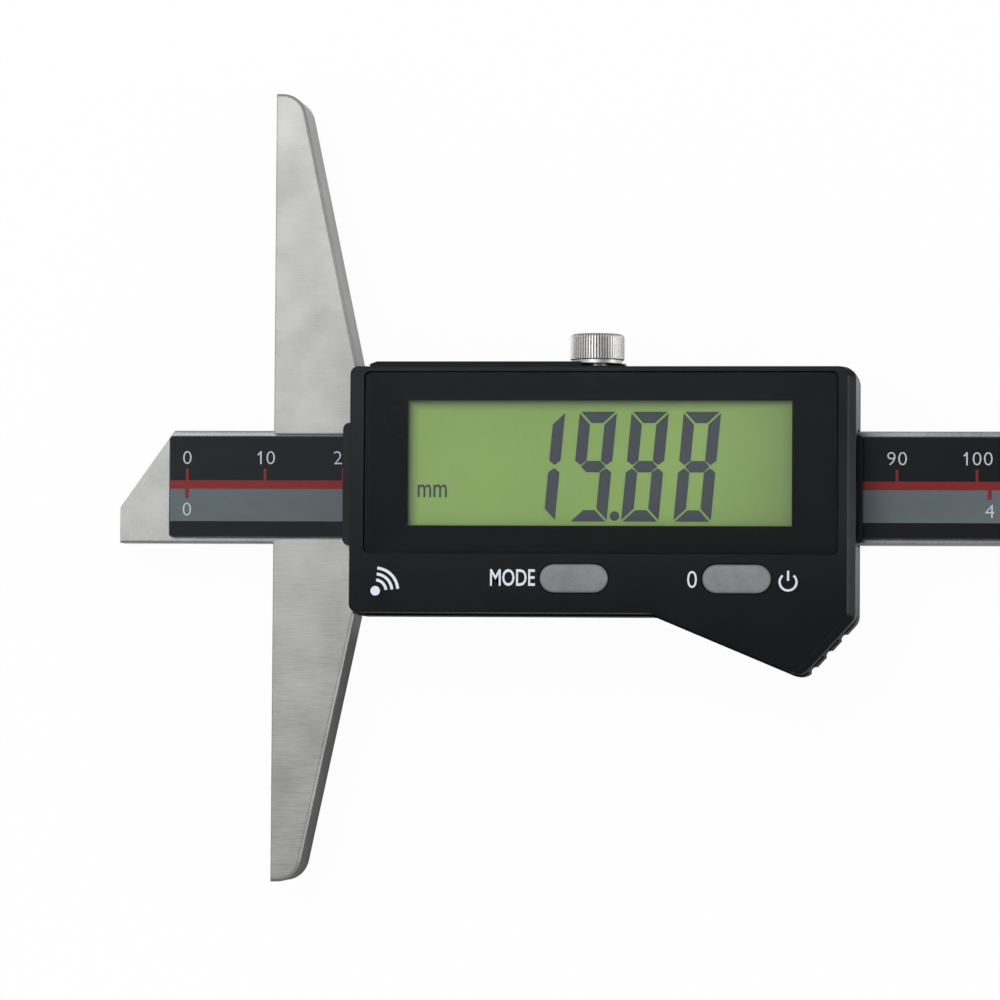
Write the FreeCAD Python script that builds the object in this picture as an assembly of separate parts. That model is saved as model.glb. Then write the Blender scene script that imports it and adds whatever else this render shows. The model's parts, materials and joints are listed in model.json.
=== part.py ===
# Depth caliper with a digital display, lying on its back. Millimetres.
# X = 0 is the measuring face of the base, +X runs along the beam towards the display.
# Y = 0 is the middle of the beam, Z = 0 is the back that it rests on, +Z leaves the display.
import FreeCAD
import Part

import math
import os

# Measuring
measuring_range = 150.0
reading = 19.88  # how far the tip stands out of the measuring face

# Beam
beam_spare = 84.0  # beam beyond the range: what stays in the slider and the stop's length
beam_width = 14.3
beam_thickness = 3.5
beam_edge_break = 0.25
beam_end_radius = 0.6
tip_flat_width = 4.5
tip_slant_length = 6.93
tip_corner_radius = 1.0
slide_play = 0.05  # running clearance on every guided side of the beam

# Scale strip and label, raised above the bar between the guide lips
strip_thickness = 1.0
strip_width = 12.9
strip_start = 6.42
strip_end_margin = 5.0
strip_corner_radius = 0.5
label_thickness = 0.15
label_margin = 0.16

# End stop on the beam's back
stop_length = 6.0
stop_width = 10.0
stop_thickness = 1.6
stop_end_margin = 1.2
stop_screw_pitch = 5.6
stop_screw_length = 4.0

# Depth base
base_length = 100.0
base_depth = 13.87  # in the middle, from the measuring face
base_thickness = 8.0
base_end_depth = 3.25  # each wing narrows evenly towards its end
base_corner_radius = 3.1
base_edge_break = 0.3
lip_gap = 0.23  # between the guide lips and the scale strip
tongue_length = 24.0  # from the measuring face to the end of the tongue
base_screw_inset = 2.4
base_screw_pitch = 5.2

# Slider frame
web_thickness = 1.95
rail_width = 3.2
rail_rise = 0.3  # of the rails above the base's front face
rail_start_gap = 0.08
seat_gap = 0.05  # between fixed pieces that sit beside each other
battery_waist = 0.85
waist_start_gap = 3.6
frame_screw_margin = 6.6
frame_screw_start = 6.0  # from the tongue's end
lower_screw_margin = 1.95
short_screw_length = 5.0

# Gib strip and its set screws
gib_thickness = 0.85
gib_start_margin = 1.05
gib_end_margin = 0.6
gib_screw_start = 1.6  # from the tongue's end
gib_screw_margin = 8.6  # from the rails' end
gib_screw_length = 2.9
gib_slot_width = 0.36
gib_slot_depth = 0.45

# Screws with round heads in sunk seats
screw_radius = 0.8
screw_head_radius = 1.45
screw_head_height = 0.7
screw_clearance = 0.05
screw_sink = 0.1
screw_sides = 12

# Housing, both shells
housing_overlap = 3.17  # over the middle of the base, past its far side
housing_length = 63.3
housing_top = 14.8
housing_bottom = -16.0
split_gap = 0.1
wall = 1.3
boss_radius = 1.5
boss_top_inset = 1.9
boss_bottom_inset = 2.0
boss_left_inset = 3.0
boss_right_inset = 3.0
boss_chin_gap = 1.5
housing_screw_length = 11.5

# Chin below the battery
chin_start = 25.5  # each distance is measured back from the housing's right side
chin_tip = 6.7
chin_drop = 7.8
chin_end_drop = 0.5
chin_start_radius = 3.0
chin_tip_radius = 1.5
chin_end_radius = 1.8

# Front shell
front_height = 7.4
corner_radius = 1.0
far_corner_radius = 1.7
bevel_width = 0.88
bevel_height = 0.9
front_edge_break = 0.15
button_plate = 1.5
seal_groove_width = 0.6
seal_groove_depth = 0.45
seal_groove_inset = 0.35
seal_slack = 0.03

# Rear shell
rear_floor = 1.2
rear_steps = (0.3, 0.3, 0.15, 0.0, 0.3)  # bottom, chin's underside, diagonal, right side, top
rear_corner_radius = 0.9
rear_low_corner_radius = 0.3
rear_edge_break = 0.4
base_gap = 0.4
pillar_radius = 1.6
beam_exit_gap = 0.25
ridge_setback = 1.5
ridge_length = 32.0
ridge_height = 1.1
ridge_end_length = 0.9
ridge_end_drop = 0.33
notch_count = 3
notch_pitch = 2.8
notch_first = 2.75
notch_width = 1.1
notch_depth = 0.35

# Window, gasket and display
window_left_margin = 1.94
window_right_margin = 2.3
window_top_margin = 0.81
window_height = 22.46
window_radius = 0.6
window_thickness = 1.3
window_sink = 0.05
window_groove = 0.2
gasket_thickness = 0.15
view_left_border = 5.26
view_right_border = 5.66
view_top_border = 3.42
view_bottom_border = 3.38
ledge_thickness = 0.6
ledge_setback = 0.7
lcd_border = 2.0
lcd_thickness = 1.8
reflector_thickness = 0.15
holder_wall = 0.6
holder_shelf = 0.8
contact_width = 0.9

# Circuit board and what it carries
board_thickness = 1.0
board_side_gap = 0.4
board_end_gap = 0.2
boss_notch_gap = 0.25
chip_length = 9.0
chip_width = 7.0
chip_height = 1.1
chip_lead_count = 8
chip_lead_pitch = 0.95
chip_lead_width = 0.4
chip_lead_reach = 0.9
chip_lead_height = 0.35
switch_size = 4.5
switch_height = 1.5
switch_plunger_radius = 1.0
switch_plunger_height = 0.5

# Buttons
button_length = 8.64
button_width = 3.63
button_rise = 0.4
button_travel = 0.5
button_gap = 0.1
button_flange = 0.58
button_flange_height = 1.05
button_stem_radius = 1.5
button_edge_break = 0.35
button_drop = 4.29  # from the housing's bottom side up to the buttons' middle line
zero_button_margin = 14.71
button_pitch = 20.32

# Battery
battery_diameter = 11.6
battery_height = 5.4
battery_cap_diameter = 10.4
battery_cap_height = 0.35
battery_side_margin = 8.6
battery_chin_margin = 8.75
battery_play = 0.1
battery_lift = 0.05
chamber_wall = 1.1
chamber_rise = 0.35
cover_overlap = 0.85
cover_boss_height = 0.5
cover_boss_radius = 5.0
cover_ear_radius = 1.7
cover_ears = ((8.2, 170.0), (7.5, 30.0))  # distance and direction from the battery's middle
seal_offset = 0.4
seal_width = 0.36
seal_height = 0.36
seal_sides = 36
contact_thickness = 0.22
spring_width = 3.0
clip_width = 1.8
clip_reach = 1.3

# Locking screw and its pad
lock_setback = 3.35  # from the ridge's right end back to the screw's axis
lock_radius = 1.25
lock_clearance = 0.05
lock_pad_length = 0.8
lock_pad_gap = 0.2
lock_tip_gap = 0.05
knob_diameter = 6.86
knob_length = 3.4
knob_edge_break = 0.45
knob_collar_radius = 3.18
knob_collar_length = 0.5
knob_lift = 0.3  # from the ridge's top to the knob's underside
knurl_count = 40
knurl_depth = 0.22
recess_radius = 3.55
recess_depth = 0.55
recess_run = 3.75
lock_hole_gap = 0.35

# Wipers where the beam enters and leaves the housing
touch_gap = 0.03
entry_wiper_length = 2.9
entry_wiper_reach = 1.6
entry_wiper_width = 15.5
entry_wiper_offset = 0.25
entry_wiper_height = 1.97
entry_wiper_radius = 0.8
exit_wiper_length = 1.9
exit_wiper_reach = 0.64
exit_wiper_width = 13.41
exit_wiper_offset = -0.27
exit_wiper_height = 1.57

# Levels, from the back to the front
channel_floor = rear_floor + web_thickness
beam_back = channel_floor + slide_play
beam_front = beam_back + beam_thickness
lip_back = beam_front + slide_play
strip_front = beam_front + strip_thickness
split_level = base_thickness + split_gap
rail_front = base_thickness + rail_rise
front_level = split_level + front_height
board_front = rail_front + board_thickness
gasket_back = front_level - window_sink - window_thickness - gasket_thickness
ledge_back = gasket_back - ledge_thickness
lcd_front = ledge_back - seat_gap
lcd_back = lcd_front - lcd_thickness
shelf_front = lcd_back - reflector_thickness
button_ceiling = front_level - button_plate
battery_back = rear_floor + cover_boss_height + battery_lift
battery_front = battery_back + battery_height
lock_level = (channel_floor + lip_back) / 2

# Places along and across
housing_left = base_depth - housing_overlap
beam_length = measuring_range + beam_spare
tip_x = -reading
beam_end = tip_x + beam_length
half_beam = beam_width / 2
channel_side = half_beam + slide_play
lip_side = strip_width / 2 + lip_gap
gib_side = channel_side + gib_thickness
upper_rail_inner = gib_side + slide_play
upper_rail_outer = upper_rail_inner + rail_width
lower_rail_outer = -channel_side - rail_width
upper_screw_y = upper_rail_inner + rail_width / 2
lower_screw_y = -channel_side - rail_width / 2
housing_right = housing_left + housing_length
rail_start = base_depth + rail_start_gap
rail_end = housing_right - wall - seat_gap * 2
battery_x = housing_right - battery_side_margin
battery_y = housing_bottom - chin_drop + battery_chin_margin
chamber_radius = battery_diameter / 2 + battery_play
waist_y = battery_y + chamber_radius + battery_waist
waist_start = battery_x - chamber_radius - waist_start_gap
window_left = housing_left + window_left_margin
window_right = housing_right - window_right_margin
window_top = housing_top - window_top_margin
window_bottom = window_top - window_height
view_left = window_left + view_left_border
view_right = window_right - view_right_border
view_top = window_top - view_top_border
view_bottom = window_bottom + view_bottom_border
lcd_left = view_left - lcd_border
lcd_right = view_right + lcd_border
lcd_top = view_top + lcd_border
lcd_bottom = view_bottom - lcd_border
button_y = housing_bottom + button_drop
zero_button_x = housing_right - zero_button_margin
mode_button_x = zero_button_x - button_pitch
ridge_top = housing_top + ridge_height
ridge_start = housing_left + ridge_setback
lock_x = ridge_start + ridge_length - lock_setback
knob_underside = ridge_top + knob_lift
boss_places = (
    (housing_left + boss_left_inset, housing_top - boss_top_inset),
    (housing_right - boss_right_inset, housing_top - boss_top_inset),
    (housing_left + boss_left_inset, housing_bottom + boss_bottom_inset),
    (housing_right - chin_start + boss_chin_gap, housing_bottom + boss_bottom_inset),
)
frame_screw_places = (
    (tongue_length + frame_screw_start, upper_screw_y),
    (rail_end - frame_screw_margin, upper_screw_y),
    (tongue_length + frame_screw_start, lower_screw_y),
    (waist_start - lower_screw_margin, lower_screw_y),
)
base_screw_places = tuple(
    (x, y)
    for x in (tongue_length - base_screw_inset - base_screw_pitch, tongue_length - base_screw_inset)
    for y in (upper_screw_y, lower_screw_y)
)
stop_middle = beam_end - stop_end_margin - stop_length / 2
stop_screw_places = ((stop_middle, -stop_screw_pitch / 2), (stop_middle, stop_screw_pitch / 2))
cover_screw_places = tuple(
    (
        battery_x + distance * math.cos(math.radians(direction)),
        battery_y + distance * math.sin(math.radians(direction)),
    )
    for distance, direction in cover_ears
)


# Shapes that the pieces share


def at(x, y, z=0.0):
    return FreeCAD.Vector(x, y, z)


def block(x0, x1, y0, y1, z0, z1):
    return Part.makeBox(x1 - x0, y1 - y0, z1 - z0, at(x0, y0, z0))


def rod(radius, start, end):
    return Part.makeCylinder(radius, (end - start).Length, start, end - start)


def pin(radius, x, y, z0, z1):
    return rod(radius, at(x, y, z0), at(x, y, z1))


def faceted_rod(radius, start, end, sides=screw_sides):
    """Rod or hole along Y or Z with a few flat sides, so that what repeats stays light."""
    axis = end - start
    across = at(1, 0)
    upright = FreeCAD.Vector(axis).normalize().cross(across)
    points = []
    for index in range(sides):
        angle = 2 * math.pi * (index + 0.5) / sides
        points.append(start + across * radius * math.cos(angle) + upright * radius * math.sin(angle))
    return Part.Face(Part.makePolygon(points + points[:1])).extrude(axis)


def faceted(radius, x, y, z0, z1, sides=screw_sides):
    return faceted_rod(radius, at(x, y, z0), at(x, y, z1), sides)


def fused(shapes):
    return shapes[0].multiFuse(shapes[1:]).removeSplitter()


def rounded_wire(corners, z):
    """Closed wire at height z through (x, y, radius) corners, with arcs tangent to both sides."""
    joints = []
    for index, (x, y, radius) in enumerate(corners):
        corner = at(x, y, z)
        next_corner = corners[(index + 1) % len(corners)]
        back = (at(corners[index - 1][0], corners[index - 1][1], z) - corner).normalize()
        ahead = (at(next_corner[0], next_corner[1], z) - corner).normalize()
        half_angle = back.getAngle(ahead) / 2
        setback = radius / math.tan(half_angle)
        middle = (back + ahead).normalize()
        nearest = corner + middle * (radius / math.sin(half_angle) - radius)
        joints.append((corner + back * setback, nearest, corner + ahead * setback))
    edges = []
    for index, (arrive, nearest, leave) in enumerate(joints):
        if corners[index][2] > 0:
            edges.append(Part.Arc(arrive, nearest, leave).toShape())
        target = joints[(index + 1) % len(joints)][0]
        if leave.distanceToPoint(target) > 1e-6:
            edges.append(Part.LineSegment(leave, target).toShape())
    return Part.Wire(edges)


def inset(corners, distances):
    """Corners once each side has moved inwards; distances[i] moves the side after corner i."""
    lines = []
    for index, (x, y, _) in enumerate(corners):
        next_x, next_y, _ = corners[(index + 1) % len(corners)]
        length = math.hypot(next_x - x, next_y - y)
        normal_x = (y - next_y) / length
        normal_y = (next_x - x) / length
        lines.append((normal_x, normal_y, normal_x * x + normal_y * y + distances[index]))
    moved = []
    for index, (_, _, radius) in enumerate(corners):
        ax, ay, a = lines[index - 1]
        bx, by, b = lines[index]
        turn = ax * by - ay * bx
        x = (a * by - ay * b) / turn
        y = (ax * b - a * bx) / turn
        shift = (distances[index - 1] + distances[index]) / 2
        new_radius = radius - math.copysign(shift, turn * shift) if radius > 0 else 0.0
        moved.append((x, y, max(new_radius, 0.0)))
    return moved


def prism(corners, z0, z1):
    return Part.Face(rounded_wire(corners, z0)).extrude(at(0, 0, z1 - z0))


def loft(lower, z0, upper, z1):
    return Part.makeLoft([rounded_wire(lower, z0), rounded_wire(upper, z1)], True, True)


def rounded_box(x0, x1, y0, y1, radius, z0, z1):
    return prism([(x0, y0, radius), (x1, y0, radius), (x1, y1, radius), (x0, y1, radius)], z0, z1)


def stadium(x, y, length, width, z0, z1):
    return rounded_box(x - length / 2, x + length / 2, y - width / 2, y + width / 2, width / 2, z0, z1)


def bent_strip(points, thickness):
    """Outline points of a strip of even thickness whose middle line bends at the given points."""
    sides = []
    for start, end in zip(points, points[1:]):
        length = math.hypot(end[0] - start[0], end[1] - start[1])
        sides.append(((start[1] - end[1]) / length, (end[0] - start[0]) / length))
    outer = []
    inner = []
    for index, (u, v) in enumerate(points):
        first = sides[max(index - 1, 0)]
        second = sides[min(index, len(sides) - 1)]
        scale = thickness / (1 + first[0] * second[0] + first[1] * second[1])
        shift_u = (first[0] + second[0]) * scale / 2
        shift_v = (first[1] + second[1]) * scale / 2
        outer.append((u + shift_u, v + shift_v))
        inner.append((u - shift_u, v - shift_v))
    return outer + inner[::-1]


def screw(x, y, head_z, length, extra=0.0):
    """Screw standing on its round head; extra widens it into the hole that takes it."""
    head = faceted(screw_head_radius + extra, x, y, head_z, head_z + screw_head_height + extra)
    return fused([head, faceted(screw_radius + extra, x, y, head_z, head_z + length + extra)])


def screw_hole(x, y, head_z, length):
    """Room for a screw, open behind its head."""
    sink = faceted(screw_head_radius + screw_clearance, x, y, head_z - 2 * screw_sink, head_z)
    return fused([screw(x, y, head_z, length, screw_clearance), sink])


def screw_set(places, head_z, length):
    return Part.makeCompound([screw(x, y, head_z, length) for x, y in places])


def long_edges(shape, length):
    """Edges along X that are at least this long."""
    return [edge for edge in shape.Edges if edge.BoundBox.XLength >= length]


def base_side(y):
    """X of the base's far side at this Y; the wings taper from the middle to both ends."""
    return base_depth - (base_depth - base_end_depth) * abs(y) / (base_length / 2)


def front_corners():
    """Housing outline, anticlockwise from the lower left corner."""
    return [
        (housing_left, housing_bottom, corner_radius),
        (housing_right - chin_start, housing_bottom, chin_start_radius),
        (housing_right - chin_tip, housing_bottom - chin_drop, chin_tip_radius),
        (housing_right, housing_bottom - chin_end_drop, chin_end_radius),
        (housing_right, housing_top, far_corner_radius),
        (housing_left, housing_top, corner_radius),
    ]


def rear_corners():
    """Outline of the rear shell: stepped out from the front one, its left side along the base."""
    corners = inset(front_corners(), [-step for step in rear_steps] + [0.0])
    low_y = corners[1][1]
    high_y = corners[4][1]
    corners[0] = (base_side(low_y) + base_gap, low_y, rear_low_corner_radius)
    corners[5] = (base_side(high_y) + base_gap, high_y, rear_corner_radius)
    return corners + [(base_depth + base_gap, 0.0, 0.0)]


# Beam body


def main_beam():
    """Ground bar with a slanted tip; the guide lips run on its front edges."""
    outline = [
        (tip_x, -half_beam, 0.0),
        (beam_end, -half_beam, beam_end_radius),
        (beam_end, half_beam, beam_end_radius),
        (tip_x + tip_slant_length, half_beam, 0.0),
        (tip_x, tip_flat_width - half_beam, tip_corner_radius),
    ]
    bar = prism(outline, beam_back, beam_front)
    bar = bar.makeChamfer(beam_edge_break, long_edges(bar, beam_length * 0.9))
    for x, y in stop_screw_places:
        depth = stop_screw_length - stop_thickness + screw_sink + screw_clearance
        bar = bar.cut(faceted(screw_radius + screw_clearance, x, y, beam_back, beam_back + depth))
    return bar


def scale_outline(margin):
    """Corners of the scale strip, drawn in by a margin."""
    half_width = strip_width / 2 - margin
    start = tip_x + strip_start + margin
    end = beam_end - strip_end_margin - margin
    radius = strip_corner_radius - margin
    return [
        (start, -half_width, radius),
        (end, -half_width, radius),
        (end, half_width, radius),
        (start, half_width, radius),
    ]


def scale_grid():
    return prism(scale_outline(0.0), beam_front, strip_front)


def scale_label():
    return prism(scale_outline(label_margin), strip_front, strip_front + label_thickness)


def end_stop():
    """Plate behind the beam's far end that meets the housing when the beam is fully out."""
    stop_back = beam_back - stop_thickness
    plate = block(
        stop_middle - stop_length / 2, stop_middle + stop_length / 2,
        -stop_width / 2, stop_width / 2, stop_back, beam_back,
    )
    upright = [edge for edge in plate.Edges if edge.BoundBox.ZLength > stop_thickness / 2]
    plate = plate.makeChamfer(beam_end_radius, upright)
    for x, y in stop_screw_places:
        plate = plate.cut(screw_hole(x, y, stop_back + screw_sink, stop_screw_length))
    return plate


def end_stop_screws():
    return screw_set(stop_screw_places, beam_back - stop_thickness + screw_sink, stop_screw_length)


# Base and slider frame


def depth_base():
    """Cross base with tapered wings, a T slot for the beam and a tongue under the rails."""
    half_length = base_length / 2
    outline = [
        (0.0, -half_length, 0.0),
        (base_side(half_length), -half_length, base_corner_radius),
        (base_depth, 0.0, 0.0),
        (base_side(half_length), half_length, base_corner_radius),
        (0.0, half_length, 0.0),
    ]
    body = prism(outline, 0.0, base_thickness)
    front_rim = [
        edge for edge in body.Edges
        if edge.BoundBox.ZMin > base_thickness / 2 and edge.BoundBox.XMax > base_edge_break
    ]
    body = body.makeChamfer(base_edge_break, front_rim)
    tongue = block(0.0, tongue_length, lower_rail_outer, upper_rail_outer, rear_floor, channel_floor)
    body = body.fuse(tongue)
    body = body.cut(block(-1, tongue_length, -channel_side, channel_side, channel_floor, lip_back))
    body = body.cut(block(-1, tongue_length, -lip_side, lip_side, channel_floor, base_thickness + 1))
    for x, y in base_screw_places:
        body = body.cut(screw_hole(x, y, rear_floor + screw_clearance, short_screw_length))
    return body.removeSplitter()


def slider_frame():
    """Channel behind the display: a web, two rails and the lips that keep the beam down."""
    web_start = tongue_length + seat_gap
    web = block(web_start, rail_end, lower_rail_outer, upper_rail_outer, rear_floor, channel_floor)
    upper = block(rail_start, rail_end, upper_rail_inner, upper_rail_outer, channel_floor, rail_front)
    lower = block(rail_start, rail_end, lower_rail_outer, -channel_side, channel_floor, rail_front)
    upper_lip = block(rail_start, rail_end, lip_side, upper_rail_inner, lip_back, rail_front)
    lower_lip = block(rail_start, rail_end, -channel_side, -lip_side, lip_back, rail_front)
    frame = fused([web, upper, lower, upper_lip, lower_lip])
    frame = frame.cut(
        block(waist_start, rail_end, lower_rail_outer, waist_y, rear_floor, rail_front)
    )
    for x, y in base_screw_places:
        frame = frame.cut(screw_hole(x, y, rear_floor + screw_clearance, short_screw_length))
    for x, y in frame_screw_places:
        frame = frame.cut(screw_hole(x, y, screw_sink, short_screw_length))
    for x in gib_screw_xs():
        frame = frame.cut(rail_hole(faceted_rod, x, screw_radius + screw_clearance))
    return frame.cut(rail_hole(rod, lock_x, lock_radius + lock_clearance)).removeSplitter()


def gib_screw_xs():
    return (tongue_length + gib_screw_start, rail_end - gib_screw_margin)


def rail_hole(shape, x, radius):
    """Hole across the upper rail, for the locking screw or a set screw."""
    return shape(radius, at(x, gib_side, lock_level), at(x, upper_rail_outer, lock_level))


def base_screws():
    return screw_set(base_screw_places, rear_floor + screw_clearance, short_screw_length)


def frame_screws():
    return screw_set(frame_screw_places, screw_sink, short_screw_length)


def gib_strip():
    return block(
        rail_start + gib_start_margin, rail_end - gib_end_margin,
        channel_side, gib_side, channel_floor + slide_play, lip_back - slide_play,
    )


def gib_screws():
    """Headless set screws in the upper rail, each with a slot at its outer end."""
    screws = []
    tip = gib_side + touch_gap
    for x in gib_screw_xs():
        end = tip + gib_screw_length
        body = faceted_rod(screw_radius, at(x, tip, lock_level), at(x, end, lock_level))
        slot = block(
            x - gib_slot_width / 2, x + gib_slot_width / 2, end - gib_slot_depth, end,
            lock_level - screw_radius, lock_level + screw_radius,
        )
        screws.append(body.cut(slot))
    return Part.makeCompound(screws)


# Housing


def wiper_rooms(extra):
    """Cut-outs in the front shell's rim that hold the two wipers."""
    return [
        entry_wiper_block(extra),
        exit_wiper_block(extra),
    ]


def front_housing():
    """Moulded shell with a window recess, button holes, a bevelled right side and screw bosses."""
    outline = front_corners()
    bevelled = inset(outline, [0.0, 0.0, bevel_width, bevel_width, 0.0, 0.0])
    softened = inset(bevelled, [front_edge_break] * 6)
    bevel_back = front_level - bevel_height
    break_back = front_level - front_edge_break
    shell = fused([
        prism(outline, split_level, bevel_back),
        loft(outline, bevel_back, bevelled, break_back),
        loft(bevelled, break_back, softened, front_level),
    ])
    shell = shell.cut(prism(inset(outline, [wall] * 6), split_level, ledge_back))
    bosses = [faceted(boss_radius, x, y, split_level, ledge_back) for x, y in boss_places]
    inner_side = prism(inset(outline, [wall / 2] * 6), split_level, ledge_back)
    shell = fused([shell] + [boss.common(inner_side) for boss in bosses])
    cuts = [screw_hole(x, y, screw_sink, housing_screw_length) for x, y in boss_places]
    cuts.append(rounded_box(
        window_left - window_groove, window_right + window_groove,
        window_bottom - window_groove, window_top + window_groove,
        window_radius + window_groove, gasket_back, front_level,
    ))
    cuts.append(block(
        view_left - ledge_setback, view_right + ledge_setback,
        view_bottom - ledge_setback, view_top + ledge_setback, ledge_back, gasket_back,
    ))
    cuts.append(rounded_box(
        mode_button_x - button_length / 2 - 2 * button_flange,
        zero_button_x + button_length / 2 + 2 * button_flange,
        button_y - button_width / 2 - 1.5 * button_flange,
        button_y + button_width / 2 + 1.5 * button_flange,
        corner_radius, ledge_back, button_ceiling,
    ))
    for x in (mode_button_x, zero_button_x):
        cuts.append(stadium(
            x, button_y, button_length + 2 * button_gap, button_width + 2 * button_gap,
            button_ceiling, front_level,
        ))
    cuts.append(seal_ring(0.0, split_level, split_level + seal_groove_depth))
    cuts.extend(wiper_rooms(seat_gap))
    return shell.cut(cuts).removeSplitter()


def seal_ring(slack, z0, z1):
    """Ring that follows the rim at an even distance from the outline."""
    outer = inset(front_corners(), [seal_groove_inset + slack] * 6)
    inner = inset(front_corners(), [seal_groove_inset + seal_groove_width - slack] * 6)
    return prism(outer, z0, z1).cut(prism(inner, z0, z1))


def housing_seal():
    """Rubber seal between the shells, open where the wipers take its place."""
    ring = seal_ring(seal_slack, split_level + seal_slack, split_level + seal_groove_depth - seal_slack)
    sealed = ring.cut(wiper_rooms(2 * seat_gap) + [
        faceted(screw_radius + 2 * screw_clearance, x, y, split_level, front_level)
        for x, y in boss_places
    ])
    return Part.makeCompound(sealed.Solids)


def housing_screws():
    return screw_set(boss_places, screw_sink, housing_screw_length)


def ridge():
    """Thumb ridge along the top of the rear shell, sloped at its left end."""
    root = housing_top
    return prism(
        [
            (ridge_start, root, 0.0),
            (ridge_start + ridge_length, root, 0.0),
            (ridge_start + ridge_length, ridge_top, 0.0),
            (ridge_start + ridge_end_length, ridge_top, 0.0),
            (ridge_start, ridge_top - ridge_end_drop, 0.0),
        ],
        rear_edge_break, split_level,
    )


def notches():
    """Round grooves across the diagonal side, for grip."""
    corners = rear_corners()
    tip = at(*corners[2][:2])
    end = at(*corners[3][:2])
    along = (tip - end).normalize()
    outward = at(-along.y, along.x)
    radius = (notch_width ** 2 / 4 + notch_depth ** 2) / (2 * notch_depth)
    grooves = []
    for index in range(notch_count):
        middle = end + along * (notch_first + index * notch_pitch) + outward * (radius - notch_depth)
        grooves.append(pin(radius, middle.x, middle.y, 0.0, split_level))
    return grooves


def link(far_x, far_y, extra, z0, z1):
    """Plate round the battery's middle and one ear, joined by straight tangent sides."""
    big = chamber_radius + cover_overlap + extra
    small = cover_ear_radius + extra
    distance = math.hypot(far_x - battery_x, far_y - battery_y)
    heading = math.atan2(far_y - battery_y, far_x - battery_x)
    opening = math.acos((big - small) / distance)

    def rim(x, y, radius, turn):
        return at(x + radius * math.cos(heading + turn), y + radius * math.sin(heading + turn), z0)

    big_low = rim(battery_x, battery_y, big, -opening)
    big_high = rim(battery_x, battery_y, big, opening)
    small_low = rim(far_x, far_y, small, -opening)
    small_high = rim(far_x, far_y, small, opening)
    outline = Part.Wire([
        Part.LineSegment(big_low, small_low).toShape(),
        Part.Arc(small_low, rim(far_x, far_y, small, 0.0), small_high).toShape(),
        Part.LineSegment(small_high, big_high).toShape(),
        Part.Arc(big_high, rim(battery_x, battery_y, big, math.pi), big_low).toShape(),
    ])
    return Part.Face(outline).extrude(at(0, 0, z1 - z0))


def rear_housing():
    """Moulded tray round the frame with pillars, the battery room and the locking screw's recess."""
    outline = rear_corners()
    softened = inset(outline, [rear_edge_break] * 7)
    outer = fused([
        loft(softened, 0.0, outline, rear_edge_break),
        prism(outline, rear_edge_break, split_level),
        ridge(),
    ])
    tray = outer.cut(prism(inset(outline, [wall] * 7), rear_floor, split_level))
    chamber_front = battery_front + chamber_rise
    pillars = [faceted(pillar_radius, x, y, 0.0, split_level) for x, y in boss_places]
    pillars += [faceted(boss_radius, x, y, 0.0, battery_front) for x, y in cover_screw_places]
    pillars.append(pin(chamber_radius + chamber_wall, battery_x, battery_y, 0.0, chamber_front))
    tray = fused([tray] + [pillar.common(outer) for pillar in pillars])
    frame_low = lower_rail_outer - seat_gap
    frame_high = upper_rail_outer + seat_gap
    waist_low = waist_y - seat_gap
    cuts = [
        block(housing_left, waist_start + seat_gap, frame_low, frame_high, rear_floor, split_level),
        block(waist_start, rail_end + seat_gap, waist_low, frame_high, rear_floor, split_level),
        block(
            rail_end, housing_right + wall, -half_beam - beam_exit_gap,
            half_beam + beam_exit_gap, channel_floor - slide_play, split_level,
        ),
        pin(chamber_radius, battery_x, battery_y, 0.0, chamber_front),
        clip_room(),
    ]
    cuts.append(seal_band(seal_slack))
    for x, y in cover_screw_places:
        cuts.append(link(x, y, battery_play, 0.0, rear_floor))
        cuts.append(screw_hole(x, y, 2 * screw_sink, short_screw_length))
    for x, y in boss_places:
        cuts.append(screw_hole(x, y, screw_sink, housing_screw_length))
    for x, y in frame_screw_places:
        cuts.append(screw_hole(x, y, screw_sink, short_screw_length))
    cuts.append(lock_recess())
    cuts.extend(notches())
    return tray.cut(cuts).removeSplitter()


def lock_recess():
    """Round recess under the knob, opened to the front and to the right, and the shank's hole."""
    floor_y = ridge_top - recess_depth
    reach = ridge_top + 1.0
    recess = rod(recess_radius, at(lock_x, floor_y, lock_level), at(lock_x, reach, lock_level))
    run_start = lock_x - recess_run / 2 + battery_play
    opened = block(
        run_start, lock_x + recess_run, floor_y, reach, lock_level, split_level,
    )
    hole = rod(
        lock_radius + lock_hole_gap, at(lock_x, upper_rail_outer, lock_level),
        at(lock_x, reach, lock_level),
    )
    return fused([recess, opened, hole])


# Display


def display_window():
    return rounded_box(
        window_left, window_right, window_bottom, window_top, window_radius,
        gasket_back + gasket_thickness, front_level - window_sink,
    )


def window_gasket():
    """Black foil under the window's edge; its opening frames what can be read."""
    front = gasket_back + gasket_thickness
    sheet = rounded_box(
        window_left, window_right, window_bottom, window_top, window_radius, gasket_back, front
    )
    return sheet.cut(block(view_left, view_right, view_bottom, view_top, gasket_back, front))


def lcd_panel():
    return block(lcd_left, lcd_right, lcd_bottom, lcd_top, lcd_back, lcd_front)


def lcd_reflector():
    inset_y = contact_width + 2 * seat_gap
    return block(
        lcd_left + seat_gap, lcd_right - seat_gap, lcd_bottom + inset_y, lcd_top - inset_y,
        shelf_front, lcd_back,
    )


def lcd_holder():
    """Frame on the circuit board with a shelf at both ends for the reflector and the display."""
    rim = holder_wall + seat_gap
    holder = block(
        lcd_left - rim, lcd_right + rim, lcd_bottom - rim, lcd_top + rim, board_front, lcd_front
    )
    pocket = block(
        lcd_left - seat_gap, lcd_right + seat_gap, lcd_bottom - seat_gap, lcd_top + seat_gap,
        shelf_front, lcd_front,
    )
    opening = block(
        lcd_left + holder_shelf, lcd_right - holder_shelf, lcd_bottom - seat_gap,
        lcd_top + seat_gap, board_front, shelf_front,
    )
    return holder.cut([pocket, opening])


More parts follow.
